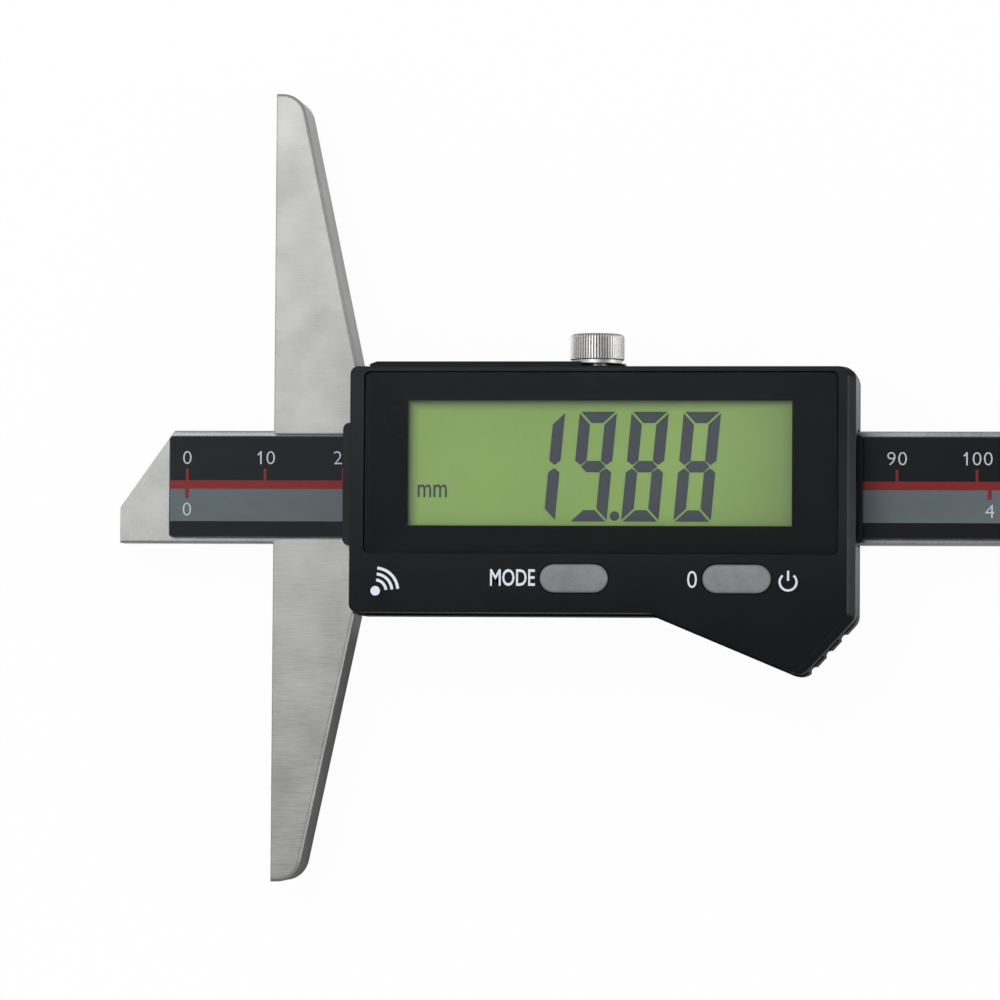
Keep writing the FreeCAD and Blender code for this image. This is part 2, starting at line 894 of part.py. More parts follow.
def contact_strips():
    """Two rubber strips that join the display's edges to the circuit board."""
    strips = []
    for low_y in (lcd_bottom, lcd_top - contact_width):
        strips.append(block(
            lcd_left + 2 * holder_shelf, lcd_right - 2 * holder_shelf, low_y,
            low_y + contact_width, board_front, lcd_back,
        ))
    return Part.makeCompound(strips)


def circuit_board():
    """Board on the rails, notched round the front shell's bosses."""
    inner_left = housing_left + wall + board_side_gap + board_end_gap
    board = block(
        inner_left, housing_right - wall - board_end_gap,
        housing_bottom + wall + board_end_gap, housing_top - wall - board_end_gap,
        rail_front, board_front,
    )
    notch = boss_radius + boss_notch_gap
    board = board.cut([faceted(notch, x, y, rail_front, board_front) for x, y in boss_places])
    return Part.makeCompound([max(board.Solids, key=lambda solid: solid.Volume)])


def controller_chip():
    """Flat package with a row of leads along two sides."""
    middle_x = (lcd_left + lcd_right) / 2
    middle_y = (lcd_bottom + lcd_top) / 2
    low_y = middle_y - chip_width / 2
    high_y = middle_y + chip_width / 2
    solids = [block(
        middle_x - chip_length / 2, middle_x + chip_length / 2, low_y, high_y,
        board_front, board_front + chip_height,
    )]
    first_x = middle_x - chip_lead_pitch * (chip_lead_count - 1) / 2
    for index in range(chip_lead_count):
        x = first_x + index * chip_lead_pitch
        solids.append(block(
            x - chip_lead_width / 2, x + chip_lead_width / 2, low_y - chip_lead_reach,
            high_y + chip_lead_reach, board_front, board_front + chip_lead_height,
        ))
    return fused(solids)


def tactile_switch(x):
    half = switch_size / 2
    top = board_front + switch_height
    body = block(x - half, x + half, button_y - half, button_y + half, board_front, top)
    return body.fuse(faceted(switch_plunger_radius, x, button_y, top, top + switch_plunger_height))


def button(x):
    """Rubber key: rounded cap, a flange that keeps it in and a stem over its switch."""
    flange_front = button_ceiling - seat_gap
    flange_back = flange_front - button_flange_height
    stem_back = board_front + switch_height + switch_plunger_height + button_travel + seat_gap
    cap = stadium(x, button_y, button_length, button_width, flange_front, front_level + button_rise)
    rim = [edge for edge in cap.Edges if edge.BoundBox.ZMin > front_level]
    cap = cap.makeChamfer(button_edge_break, rim)
    reach_x = button_length / 2 + button_flange
    reach_y = button_width / 2 + button_flange
    flange = block(
        x - reach_x, x + reach_x, button_y - reach_y, button_y + reach_y, flange_back, flange_front
    )
    return fused([cap, flange, faceted(button_stem_radius, x, button_y, stem_back, flange_back)])


# Battery


def battery_cell():
    """Button cell: a can with the smaller cap on its front."""
    can_front = battery_front - battery_cap_height
    can = pin(battery_diameter / 2, battery_x, battery_y, battery_back, can_front)
    return can.fuse(pin(battery_cap_diameter / 2, battery_x, battery_y, can_front, battery_front))


def battery_spring():
    """Leaf under the circuit board that bends down onto the battery's cap."""
    pad = rail_front - contact_thickness / 2
    touch = battery_front + contact_thickness / 2 + touch_gap
    board_edge = housing_bottom + wall + board_end_gap
    line = [
        (board_edge + spring_width, pad),
        (board_edge + board_side_gap, pad),
        (board_edge - 0.8 * spring_width, touch),
        (board_edge - 1.2 * spring_width, touch + contact_thickness),
    ]
    outline = [at(battery_x - spring_width / 2, y, z) for y, z in bent_strip(line, contact_thickness)]
    return Part.Face(Part.makePolygon(outline + outline[:1])).extrude(at(spring_width, 0, 0))


def clip_line():
    """Middle line of the side contact in the X-Z plane."""
    side_x = battery_x - battery_diameter / 2 - contact_thickness / 2 - touch_gap
    flange = rail_front - contact_thickness / 2
    return [(side_x - clip_reach, flange), (side_x, flange), (side_x, battery_back + clip_reach)]


def battery_clip():
    """Side contact: a flange under the circuit board and a leg along the battery's can."""
    low_y = housing_bottom + wall + 2 * board_end_gap
    outline = [at(x, low_y, z) for x, z in bent_strip(clip_line(), contact_thickness)]
    return Part.Face(Part.makePolygon(outline + outline[:1])).extrude(at(0, clip_width, 0))


def clip_room():
    """Slot in the battery room's wall for the side contact's leg."""
    low_y = housing_bottom + wall + 2 * board_end_gap
    leg_x = clip_line()[1][0]
    return block(
        leg_x - contact_thickness / 2 - battery_play, battery_x, low_y - battery_play,
        low_y + clip_width + battery_play, battery_back + clip_reach - battery_play, split_level,
    )


def battery_cover():
    """Lid with two screwed ears and a boss that presses on the battery."""
    plates = [link(x, y, 0.0, screw_sink, rear_floor) for x, y in cover_screw_places]
    boss_front = rear_floor + cover_boss_height
    boss = faceted(cover_boss_radius, battery_x, battery_y, screw_sink, boss_front, seal_sides)
    cover = fused(plates + [boss])
    holes = [screw_hole(x, y, 2 * screw_sink, short_screw_length) for x, y in cover_screw_places]
    return cover.cut(holes).removeSplitter()


def seal_band(slack):
    """Ring round the battery's room; the slack widens it into the groove that holds it."""
    middle = chamber_radius + seal_offset
    half = seal_width / 2 + slack
    front = rear_floor + seal_height + slack
    outer = faceted(middle + half, battery_x, battery_y, rear_floor, front, seal_sides)
    return outer.cut(faceted(middle - half, battery_x, battery_y, rear_floor, front, seal_sides))


def battery_seal():
    return seal_band(0.0)


def battery_cover_screws():
    return screw_set(cover_screw_places, 2 * screw_sink, short_screw_length)


# Locking screw


def lock_pad():
    start_y = gib_side + lock_pad_gap
    end_y = start_y + lock_pad_length
    return rod(lock_radius, at(lock_x, start_y, lock_level), at(lock_x, end_y, lock_level))


def knurl_ring(radius, y):
    """Closed zigzag wire round the screw's axis, one tooth for each pitch of the knurl."""
    points = []
    for index in range(2 * knurl_count):
        reach = radius if index % 2 == 0 else radius - knurl_depth
        angle = math.pi * index / knurl_count
        points.append(at(lock_x + reach * math.cos(angle), y, lock_level + reach * math.sin(angle)))
    return Part.makePolygon(points + points[:1])


def lock_screw():
    """Turned screw whose head carries a straight knurl between two bevelled ends."""
    tip_y = gib_side + lock_pad_gap + lock_pad_length + lock_tip_gap
    collar_y = knob_underside - knob_collar_length
    end_y = knob_underside + knob_length
    radius = knob_diameter / 2
    shank = rod(lock_radius, at(lock_x, tip_y, lock_level), at(lock_x, collar_y, lock_level))
    collar = rod(
        knob_collar_radius, at(lock_x, collar_y, lock_level), at(lock_x, knob_underside, lock_level)
    )
    rings = [
        knurl_ring(radius - knob_edge_break / 2, knob_underside),
        knurl_ring(radius, knob_underside + knob_edge_break / 2),
        knurl_ring(radius, end_y - knob_edge_break),
        knurl_ring(radius - knob_edge_break, end_y),
    ]
    return fused([shank, collar, Part.makeLoft(rings, True, True)])


# Wipers


def entry_wiper_block(extra):
    middle = entry_wiper_offset
    half = entry_wiper_width / 2 + extra
    start = housing_left - entry_wiper_reach
    return block(
        start - extra, start + entry_wiper_length + extra, middle - half, middle + half,
        base_thickness + touch_gap, base_thickness + touch_gap + entry_wiper_height + extra,
    )


def exit_wiper_block(extra):
    middle = exit_wiper_offset
    half = exit_wiper_width / 2 + extra
    end = housing_right + exit_wiper_reach
    return block(
        end - exit_wiper_length - extra, end + extra, middle - half, middle + half,
        base_thickness + touch_gap, base_thickness + touch_gap + exit_wiper_height + extra,
    )


def entry_wiper():
    """Seal over the beam at the base, its outer corners rounded."""
    shape = entry_wiper_block(0.0)
    outer = [
        edge for edge in shape.Edges
        if edge.BoundBox.ZLength > entry_wiper_height / 2
        and edge.BoundBox.XMax < housing_left
    ]
    return shape.makeFillet(entry_wiper_radius, outer)


def exit_wiper():
    shape = exit_wiper_block(0.0)
    outer = [
        edge for edge in shape.Edges
        if edge.BoundBox.ZLength > exit_wiper_height / 2
        and edge.BoundBox.XMin > housing_right
    ]
    return shape.makeFillet(exit_wiper_reach / 2, outer)


PIECES = {
    "main_beam": main_beam,
    "scale_grid": scale_grid,
    "scale_label": scale_label,
    "end_stop": end_stop,
    "end_stop_screws": end_stop_screws,
    "depth_base": depth_base,
    "base_screws": base_screws,
    "slider_frame": slider_frame,
    "frame_screws": frame_screws,
    "gib_strip": gib_strip,
    "gib_screws": gib_screws,
    "rear_housing": rear_housing,
    "front_housing": front_housing,
    "housing_seal": housing_seal,
    "housing_screws": housing_screws,
    "display_window": display_window,
    "window_gasket": window_gasket,
    "lcd_panel": lcd_panel,
    "lcd_reflector": lcd_reflector,
    "lcd_holder": lcd_holder,
    "contact_strips": contact_strips,
    "circuit_board": circuit_board,
    "controller_chip": controller_chip,
    "mode_switch": lambda: tactile_switch(mode_button_x),
    "zero_switch": lambda: tactile_switch(zero_button_x),
    "mode_button": lambda: button(mode_button_x),
    "zero_button": lambda: button(zero_button_x),
    "battery_cell": battery_cell,
    "battery_spring": battery_spring,
    "battery_clip": battery_clip,
    "battery_cover": battery_cover,
    "battery_seal": battery_seal,
    "battery_cover_screws": battery_cover_screws,
    "lock_screw": lock_screw,
    "lock_pad": lock_pad,
    "entry_wiper": entry_wiper,
    "exit_wiper": exit_wiper,
}

os.makedirs("parts", exist_ok=True)
for name, make in PIECES.items():
    shape = make()
    shape.exportStep("parts/" + name + ".step")
    box = shape.BoundBox
    print(
        f"{name:22s} solids {len(shape.Solids)} valid {shape.isValid()} volume {shape.Volume:9.2f} "
        f"X {box.XMin:.2f} {box.XMax:.2f} Y {box.YMin:.2f} {box.YMax:.2f} Z {box.ZMin:.2f} {box.ZMax:.2f}"
    )
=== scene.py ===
"""Dresses a depth caliper that lies on its back with its display up.

Metres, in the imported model's own frame: X = 0 is the measuring face and +X runs along the
beam, Y = 0 is the beam's middle, Z = 0 is what the caliper lies on and +Z leaves the display.
"""

import json
import logging
import math
from abc import ABC, abstractmethod
from collections.abc import Iterable, Sequence
from dataclasses import dataclass
from enum import Enum

import bmesh
import bpy
from mathutils import Matrix, Vector

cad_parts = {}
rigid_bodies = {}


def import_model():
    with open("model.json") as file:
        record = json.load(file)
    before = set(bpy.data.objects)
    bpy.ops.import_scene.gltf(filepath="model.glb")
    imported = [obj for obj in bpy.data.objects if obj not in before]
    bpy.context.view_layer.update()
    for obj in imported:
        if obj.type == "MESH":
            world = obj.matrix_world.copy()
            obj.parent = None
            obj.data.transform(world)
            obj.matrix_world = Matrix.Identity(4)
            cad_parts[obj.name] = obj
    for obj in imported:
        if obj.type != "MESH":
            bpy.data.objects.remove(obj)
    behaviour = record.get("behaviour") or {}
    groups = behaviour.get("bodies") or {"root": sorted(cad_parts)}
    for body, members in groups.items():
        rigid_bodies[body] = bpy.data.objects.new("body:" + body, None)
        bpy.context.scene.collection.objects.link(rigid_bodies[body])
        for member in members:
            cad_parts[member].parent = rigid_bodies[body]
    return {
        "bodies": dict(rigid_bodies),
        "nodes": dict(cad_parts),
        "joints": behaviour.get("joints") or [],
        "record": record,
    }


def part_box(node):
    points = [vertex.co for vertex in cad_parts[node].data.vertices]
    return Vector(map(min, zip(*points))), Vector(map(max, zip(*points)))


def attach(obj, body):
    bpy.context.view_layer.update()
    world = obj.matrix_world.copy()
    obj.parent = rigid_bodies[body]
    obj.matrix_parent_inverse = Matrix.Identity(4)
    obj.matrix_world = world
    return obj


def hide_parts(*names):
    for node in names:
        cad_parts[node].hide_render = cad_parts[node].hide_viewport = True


MM = 0.001
FILM = 0.02 * MM  # thickness of anything printed
LETTER_MERGE = 1e-7  # points of a letter nearer than this are one
SCREW_MERGE = 1e-6  # points of a packed screw nearer than this are one
CLOUD = (0.3, 0.7)  # a noise pattern mostly stays between these
LOG = logging.getLogger("depth_caliper")

Colour = tuple[int, int, int]
Light = tuple[float, float, float, float]
Point = tuple[float, float]
Spot = tuple[float, float, float]
Face = tuple[int, ...]
Socket = bpy.types.NodeSocket

WHITE: Light = (1.0, 1.0, 1.0, 1.0)
COOL_SHEEN: Light = (0.86, 0.95, 1.0, 1.0)


class Body(Enum):
    """What a piece moves with."""

    SLIDER = "slider"
    BEAM = "beam"
    MODE_KEY = "mode_button"
    ZERO_KEY = "zero_button"
    LOCK_SCREW = "lock_screw"


class Grain(Enum):
    """How fine a metal's grain is along X, Y and Z, where less gives longer lines."""

    ALONG_X = (0.05, 1.0, 1.0)
    ALONG_Y = (1.0, 0.02, 1.0)
    MOTTLED = (0.5, 0.3, 1.0)
    EVEN = (1.0, 1.0, 1.0)


def linear(colour: Colour) -> Light:
    """Turn a screen colour into the light values that a shader takes, by the sRGB curve.

    Args:
        colour: Red, green and blue from 0 to 255.

    Returns:
        Linear red, green, blue and full alpha.
    """
    values = []
    for channel in colour:
        share = channel / 255
        values.append(share / 12.92 if share <= 0.04045 else ((share + 0.055) / 1.055) ** 2.4)
    return (values[0], values[1], values[2], 1.0)


def arc(centre: Point, radius: float, start: float, end: float, steps: int) -> list[Point]:
    """Points along a round arc.

    Args:
        centre: Its middle.
        radius: Its radius.
        start: First angle in degrees.
        end: Last angle in degrees.
        steps: How many even steps lie between the angles.

    Returns:
        The points, one more than there are steps.
    """
    turns = [math.radians(start + (end - start) * index / steps) for index in range(steps + 1)]
    return [(centre[0] + radius * math.cos(a), centre[1] + radius * math.sin(a)) for a in turns]


def circle(centre: Point, radius: float, sides: int) -> list[Point]:
    """Corners of a regular outline that stands for a circle.

    Args:
        centre: Its middle.
        radius: Its radius.
        sides: How many corners it has.

    Returns:
        The outline, anticlockwise.
    """
    return arc(centre, radius, 0, 360, sides)[:-1]


def skin(rings: Sequence[Sequence[Spot]], first: int = 0) -> tuple[list[Spot], list[Face]]:
    """Join rings of equally many points into a closed skin.

    Args:
        rings: The rings from the bottom to the top, each anticlockwise.
        first: How many points the mesh already has.

    Returns:
        The new points and the faces between them.
    """
    count = len(rings[0])
    points = [point for ring in rings for point in ring]
    last = first + (len(rings) - 1) * count
    faces = [tuple(range(first + count - 1, first - 1, -1)), tuple(range(last, last + count))]
    for low in range(first, last, count):
        for index in range(count):
            after = (index + 1) % count
            faces.append((low + index, low + after, low + count + after, low + count + index))
    return points, faces


def new_mesh(name: str, points: Sequence[Spot], faces: Sequence[Face] = ()) -> bpy.types.Mesh:
    """Make a mesh.

    Args:
        name: Its name.
        points: Its points.
        faces: Its faces, none for a cloud of points.

    Returns:
        The mesh.
    """
    mesh = bpy.data.meshes.new(name)
    mesh.from_pydata(points, [], faces)
    return mesh


def hang(name: str, data: bpy.types.ID) -> bpy.types.Object:
    """Put an object with this data into the scene.

    Args:
        name: The object's name.
        data: Its mesh, curve, lamp or camera.

    Returns:
        The object.
    """
    item = bpy.data.objects.new(name, data)
    bpy.context.scene.collection.objects.link(item)
    return item


def evaluated(item: bpy.types.Object) -> bpy.types.Mesh:
    """Return a plain mesh of an object with its modifiers applied."""
    depsgraph = bpy.context.evaluated_depsgraph_get()
    return bpy.data.meshes.new_from_object(item.evaluated_get(depsgraph))


class NodeGraph:
    """A node tree, built by short calls."""

    def __init__(self, tree: bpy.types.NodeTree) -> None:
        """Start with an empty tree.

        Args:
            tree: The tree of a material, of the world or of a geometry pattern.
        """
        self.tree = tree
        self.tree.nodes.clear()

    def add(
        self, kind: str, inputs: dict[str | int, object] | None = None, **settings: object
    ) -> bpy.types.Node:
        """Add a node.

        Args:
            kind: The node's type.
            inputs: What each input gets: a number, a colour or another node's output.
            **settings: Properties of the node and their values.

        Returns:
            The new node.
        """
        node = self.tree.nodes.new(kind)
        for name, value in settings.items():
            setattr(node, name, value)
        for socket, value in (inputs or {}).items():
            if isinstance(value, Socket):
                self.tree.links.new(value, node.inputs[socket])
            else:
                node.inputs[socket].default_value = value
        return node

    def maths(self, operation: str, first: object, second: object = 0.0) -> Socket:
        """Combine two numbers.

        Args:
            operation: Blender's name of the operation.
            first: A number or an output.
            second: A number or an output.

        Returns:
            The result.
        """
        node = self.add("ShaderNodeMath", {0: first, 1: second}, operation=operation)
        return node.outputs["Value"]

    def span(self, value: Socket, low: float, high: float, start: float, end: float) -> Socket:
        """Stretch one range of numbers onto another, held at its ends.

        Args:
            value: What is read.
            low: The read range's start.
            high: The read range's end.
            start: What low becomes.
            end: What high becomes.

        Returns:
            The new number.
        """
        ranges = {"Value": value, "From Min": low, "From Max": high, "To Min": start, "To Max": end}
        return self.add("ShaderNodeMapRange", ranges).outputs["Result"]


class Graph(NodeGraph):
    """One material's node tree."""

    def __init__(self, name: str) -> None:
        """Start an empty tree with its object coordinates.

        Args:
            name: The material's name.
        """
        self.material = bpy.data.materials.new(name)
        self.material.use_nodes = True
        super().__init__(self.material.node_tree)
        self.place = self.add("ShaderNodeTexCoord").outputs["Object"]

    def stretched(self, scale: Sequence[float], turn: float = 0.0) -> Socket:
        """Object coordinates, scaled and turned about Z.

        Args:
            scale: Factor along each axis.
            turn: Angle in radians.

        Returns:
            The vector output.
        """
        inputs = {"Vector": self.place, "Scale": tuple(scale), "Rotation": (0.0, 0.0, turn)}
        return self.add("ShaderNodeMapping", inputs).outputs["Vector"]

    def noise(self, size: float, vector: Socket | None = None, detail: float = 3.0) -> Socket:
        """Cloudy pattern.

        Args:
            size: Rough size of its blots in metres.
            vector: Coordinates, or the object's own.
            detail: How many finer layers it has.

        Returns:
            A number output around a half.
        """
        inputs = {"Vector": vector or self.place, "Scale": 1 / size, "Detail": detail}
        return self.add("ShaderNodeTexNoise", inputs).outputs["Fac"]

    def cells(self, size: float) -> Socket:
        """Distance to the nearest of many scattered points, for specks.

        Args:
            size: Rough distance between the points in metres.

        Returns:
            A number output, near 0 at each point.
        """
        inputs = {"Vector": self.place, "Scale": 1 / size}
        return self.add("ShaderNodeTexVoronoi", inputs).outputs["Distance"]

    def wander(self, pattern: Socket, low: float, high: float) -> Socket:
        """Let a number go up and down with a cloudy pattern.

        Args:
            pattern: The pattern.
            low: What its low places give.
            high: What its high places give.

        Returns:
            The number.
        """
        return self.span(pattern, *CLOUD, low, high)

    def mixture(self, first: Socket, share: float, second: Socket) -> Socket:
        """Weigh two patterns against each other.

        Args:
            first: A number output.
            share: The first one's share.
            second: A number output.

        Returns:
            The weighed sum.
        """
        rest = self.maths("MULTIPLY", second, 1 - share)
        node = self.add("ShaderNodeMath", {0: first, 1: share, 2: rest}, operation="MULTIPLY_ADD")
        return node.outputs["Value"]

    def reach(self, middle: Spot, along: Spot) -> Socket:
        """Distance from a line that runs along X, Y or Z.

        Args:
            middle: A point of the line.
            along: 0 for the line's own direction and 1 for the others.

        Returns:
            The distance in metres.
        """
        kind = "ShaderNodeVectorMath"
        shift = self.add(kind, {0: self.place, 1: middle}, operation="SUBTRACT")
        flat = self.add(kind, {0: shift.outputs["Vector"], 1: along}, operation="MULTIPLY")
        length = self.add(kind, {0: flat.outputs["Vector"]}, operation="LENGTH")
        return length.outputs["Value"]

    def axis(self, name: str) -> Socket:
        """One coordinate of the surface.

        Args:
            name: X, Y or Z.

        Returns:
            The number output, in metres.
        """
        return self.add("ShaderNodeSeparateXYZ", {"Vector": self.place}).outputs[name]

    def blend(self, factor: Socket, first: object, second: object) -> Socket:
        """Mix two colours.

        Args:
            factor: 0 gives the first colour and 1 the second.
            first: A linear colour or an output.
            second: A linear colour or an output.

        Returns:
            The mixed colour.
        """
        node = self.add("ShaderNodeMix", {"Factor": factor, 6: first, 7: second}, data_type="RGBA")
        return node.outputs[2]

    def tint(self, pattern: Socket, dark: Colour, light: Colour, reach: float = 0.15) -> Socket:
        """Colour a pattern.

        Args:
            pattern: A number output around a half.
            dark: The screen colour of its low places.
            light: The screen colour of its high places.
            reach: How far from a half the colours are full.

        Returns:
            The colour.
        """
        factor = self.span(pattern, 0.5 - reach, 0.5 + reach, 0.0, 1.0)
        return self.blend(factor, linear(dark), linear(light))

    def bump(self, height: Socket, depth: float, strength: float, worn: float = 0.0) -> Socket:
        """Surface relief from a height.

        Args:
            height: A number output.
            depth: What a height of 1 stands for, in metres.
            strength: Share of the relief that shows.
            worn: Radius in metres to which sharp edges look worn.

        Returns:
            The normal output.
        """
        inputs = {"Height": height, "Distance": depth, "Strength": strength}
        if worn:
            edge = self.add("ShaderNodeBevel", {"Radius": worn}, samples=4)
            inputs["Normal"] = edge.outputs["Normal"]
        return self.add("ShaderNodeBump", inputs).outputs["Normal"]

    def shade(self, **inputs: object) -> bpy.types.Material:
        """End the tree in one shader.

        Args:
            **inputs: The shader's inputs, with underscores for spaces.

        Returns:
            The finished material.
        """
        named = {name.replace("_", " "): value for name, value in inputs.items()}
        shader = self.add("ShaderNodeBsdfPrincipled", named)
        self.add("ShaderNodeOutputMaterial", {"Surface": shader.outputs[0]})
        return self.material


@dataclass(frozen=True)
class Finish(ABC):
    """How a surface looks, at its real scale."""

    name: str

    @abstractmethod
    def build(self) -> bpy.types.Material:
        """Return the material."""


@dataclass(frozen=True)
class GroundMetal(Finish):
    """Ground or turned metal with fine grain lines, clouds and a few longer scratches."""

    dark: Colour
    light: Colour
    grain: Grain = Grain.ALONG_X
    pitch: float = 0.12 * MM
    roughness: float = 0.34
    relief: float = 0.35
    worn: float = 0.0
    scatter: float = 0.07
    clouds: float = 7 * MM
    scratch_size: float = 6.0
    scratch_turn: float = 0.03
    scratch_share: float = 0.6
    depth: float = 0.004 * MM

    def build(self) -> bpy.types.Material:
        """Return the material."""
        graph = Graph(self.name)
        lines = graph.noise(self.pitch, graph.stretched(self.grain.value), 4.0)
        askew = graph.stretched(self.grain.value, self.scratch_turn)
        scratches = graph.noise(self.scratch_size * self.pitch, askew, 2.0)
        mixed = graph.mixture(lines, 0.5, graph.noise(self.clouds))
        height = graph.maths("ADD", lines, graph.maths("MULTIPLY", scratches, self.scratch_share))
        return graph.shade(
            Base_Color=graph.tint(mixed, self.dark, self.light, 0.18), Metallic=1.0,
            Roughness=graph.wander(lines, self.roughness - self.scatter, self.roughness + self.scatter),
            Normal=graph.bump(height, self.depth, self.relief, self.worn),
        )


@dataclass(frozen=True)
class KnurledMetal(Finish):
    """Bright turned steel with painted shade in its knurl's grooves, darkest at their roots."""

    dark: Colour
    light: Colour
    # colour of the painted shade in the knurl's grooves
    groove: Colour
    axis: Spot
    root: float
    crest: float
    pitch: float = 0.12 * MM
    fade: float = 0.02 * MM
    smooth: float = 0.36
    matt: float = 0.5

    def build(self) -> bpy.types.Material:
        """Return the material."""
        graph = Graph(self.name)
        lines = graph.noise(self.pitch, graph.stretched(Grain.ALONG_X.value))
        steel = graph.tint(lines, self.dark, self.light)
        # painted shade in the knurl's grooves: full at the roots, none at the crests, and only on the
        # head
        depth = graph.span(graph.reach(self.axis, (1, 0, 1)), self.root, self.crest, 1.0, 0.0)
        inside = graph.span(graph.axis("Y"), self.axis[1], self.axis[1] + self.fade, 0.0, 1.0)
        groove_shade_mask = graph.maths("MULTIPLY", depth, inside)
        return graph.shade(
            Base_Color=graph.blend(groove_shade_mask, steel, linear(self.groove)), Metallic=1.0,
            Roughness=graph.wander(lines, self.smooth, self.matt),
            Normal=graph.bump(lines, 0.003 * MM, 0.3),
        )


@dataclass(frozen=True)
class Moulded(Finish):
    """Moulded plastic or rubber with a fine spark-eroded texture and soft patches."""

    dark: Colour
    light: Colour
    roughness: float = 0.5
    specular: float = 0.2
    grit: float = 0.16 * MM
    relief: float = 0.14
    polished_from: float = 15.4 * MM
    polish: float = 0.0
    sheen: Light = COOL_SHEEN
    patches: float = 14 * MM
    scatter: float = 0.05
    fade: float = 0.2 * MM

    def build(self) -> bpy.types.Material:
        """Return the material."""
        graph = Graph(self.name)
        grit = graph.noise(self.grit, detail=2.0)
        patches = graph.noise(self.patches)
        rough = graph.wander(patches, self.roughness - self.scatter, self.roughness + self.scatter)
        start = self.polished_from - self.fade
        front = graph.span(graph.axis("Z"), start, self.polished_from, 0.0, 1.0)
        rough = graph.maths("SUBTRACT", rough, graph.maths("MULTIPLY", front, self.polish))
        return graph.shade(
            Base_Color=graph.tint(graph.mixture(grit, 0.5, patches), self.dark, self.light),
            Roughness=rough, Specular_IOR_Level=self.specular, Specular_Tint=self.sheen,
            Normal=graph.bump(grit, 0.02 * MM, self.relief),
        )


@dataclass(frozen=True)
class SpeckledRubber(Finish):
    """Grey key rubber with small dark and pale specks, and painted shade round its foot."""

    base: Colour
    fleck: Colour
    pale: Colour
    foot: float = 15.5 * MM
    # height and strength of the painted shade round the key's foot
    grime: float = 0.24 * MM
    grime_share: float = 0.75
    clouds: float = 2.2 * MM
    speck_pitch: float = 0.42 * MM
    speck_core: float = 0.10
    speck_rim: float = 0.22
    speck_share: float = 0.55

    def build(self) -> bpy.types.Material:
        """Return the material."""
        graph = Graph(self.name)
        ground = graph.tint(graph.noise(self.clouds), self.base, self.pale, 0.2)
        near = graph.cells(self.speck_pitch)
        specks = graph.span(near, self.speck_core, self.speck_rim, self.speck_share, 0.0)
        flecked = graph.blend(specks, ground, linear(self.fleck))
        # painted shade round the key's foot, where it meets the housing, in the speck colour
        edge = graph.span(graph.axis("Z"), self.foot, self.foot + self.grime, self.grime_share, 0.0)
        grit = graph.noise(0.1 * MM)
        return graph.shade(
            Base_Color=graph.blend(edge, flecked, linear(self.fleck)),
            Roughness=graph.wander(grit, 0.5, 0.65), Specular_IOR_Level=0.3,
            Normal=graph.bump(grit, 0.02 * MM, 0.35),
        )


@dataclass(frozen=True)
class PrintedFilm(Finish):
    """Printed laminate, satin, with faint dust and rubbed patches."""

    ink: Colour
    rubbed: Colour
    roughness: float = 0.36
    specular: float = 0.3
    patches: float = 16 * MM
    dust: float = 0.2 * MM

    def build(self) -> bpy.types.Material:
        """Return the material."""
        graph = Graph(self.name)
        rub = graph.noise(self.patches, graph.stretched((0.5, 1.6, 1.0)))
        dust = graph.noise(self.dust, detail=1.0)
        return graph.shade(
            Base_Color=graph.tint(graph.mixture(rub, 0.75, dust), self.ink, self.rubbed),
            Roughness=graph.wander(rub, self.roughness - 0.06, self.roughness + 0.08),
            Specular_IOR_Level=self.specular, Specular_Tint=COOL_SHEEN,
            Normal=graph.bump(dust, 0.006 * MM, 0.3),
        )


@dataclass(frozen=True)
class ClearWindow(Finish):
    """Clear hard plastic that one looks through, with faint wiping marks."""

    dark: Colour = (18, 20, 22)
    light: Colour = (30, 32, 34)
    opacity: float = 0.07
    wipe: float = 3 * MM
    wipe_turn: float = 0.5

    def build(self) -> bpy.types.Material:
        """Return the material."""
        graph = Graph(self.name)
        wipes = graph.noise(self.wipe, graph.stretched((0.25, 1.0, 1.0), self.wipe_turn))
        material = graph.shade(
            Base_Color=graph.blend(wipes, linear(self.dark), linear(self.light)),
            Roughness=graph.wander(wipes, 0.15, 0.2), Alpha=self.opacity,
            Specular_IOR_Level=1.0, Specular_Tint=(0.82, 0.93, 1.0, 1.0),
        )
        material.surface_render_method = "BLENDED"
        return material


@dataclass(frozen=True)
class DisplayGlass(Finish):
    """Green reflective display with painted shade along its left, top and right sides."""

    centre: Colour
    lime: Colour
    # colour of the painted shade along the display's left, top and right sides
    edge: Colour
    low: Point
    high: Point
    falloff: float = 1.3 * MM
    long_falloff: float = 11.7 * MM
    shadow: float = 0.75
    long_shadow: float = 0.4

    def build(self) -> bpy.types.Material:
        """Return the material."""
        graph = Graph(self.name)
        clouds = graph.noise(18 * MM, graph.stretched((0.6, 1.0, 1.0)))
        fine = graph.noise(0.25 * MM, graph.stretched((1.0, 0.25, 1.0)), 1.0)
        colour = graph.tint(graph.mixture(clouds, 0.8, fine), self.centre, self.lime, 0.2)
        x = graph.axis("X")
        # painted shadow of the window's border along the left and top, and painted shade towards the
        # right where the light falls off
        left = graph.span(x, self.low[0], self.low[0] + self.falloff, self.shadow, 0.0)
        top = graph.span(
            graph.axis("Y"), self.high[1] - self.falloff, self.high[1], 0.0, self.shadow
        )
        right = graph.span(x, self.high[0] - self.long_falloff, self.high[0], 0.0, self.long_shadow)
        painted_side_shade = graph.maths("MAXIMUM", graph.maths("MAXIMUM", left, top), right)
        return graph.shade(
            Base_Color=graph.blend(painted_side_shade, colour, linear(self.edge)),
            Roughness=graph.wander(fine, 0.4, 0.5), Specular_IOR_Level=0.15,
            Normal=graph.bump(fine, 0.003 * MM, 0.2),
        )


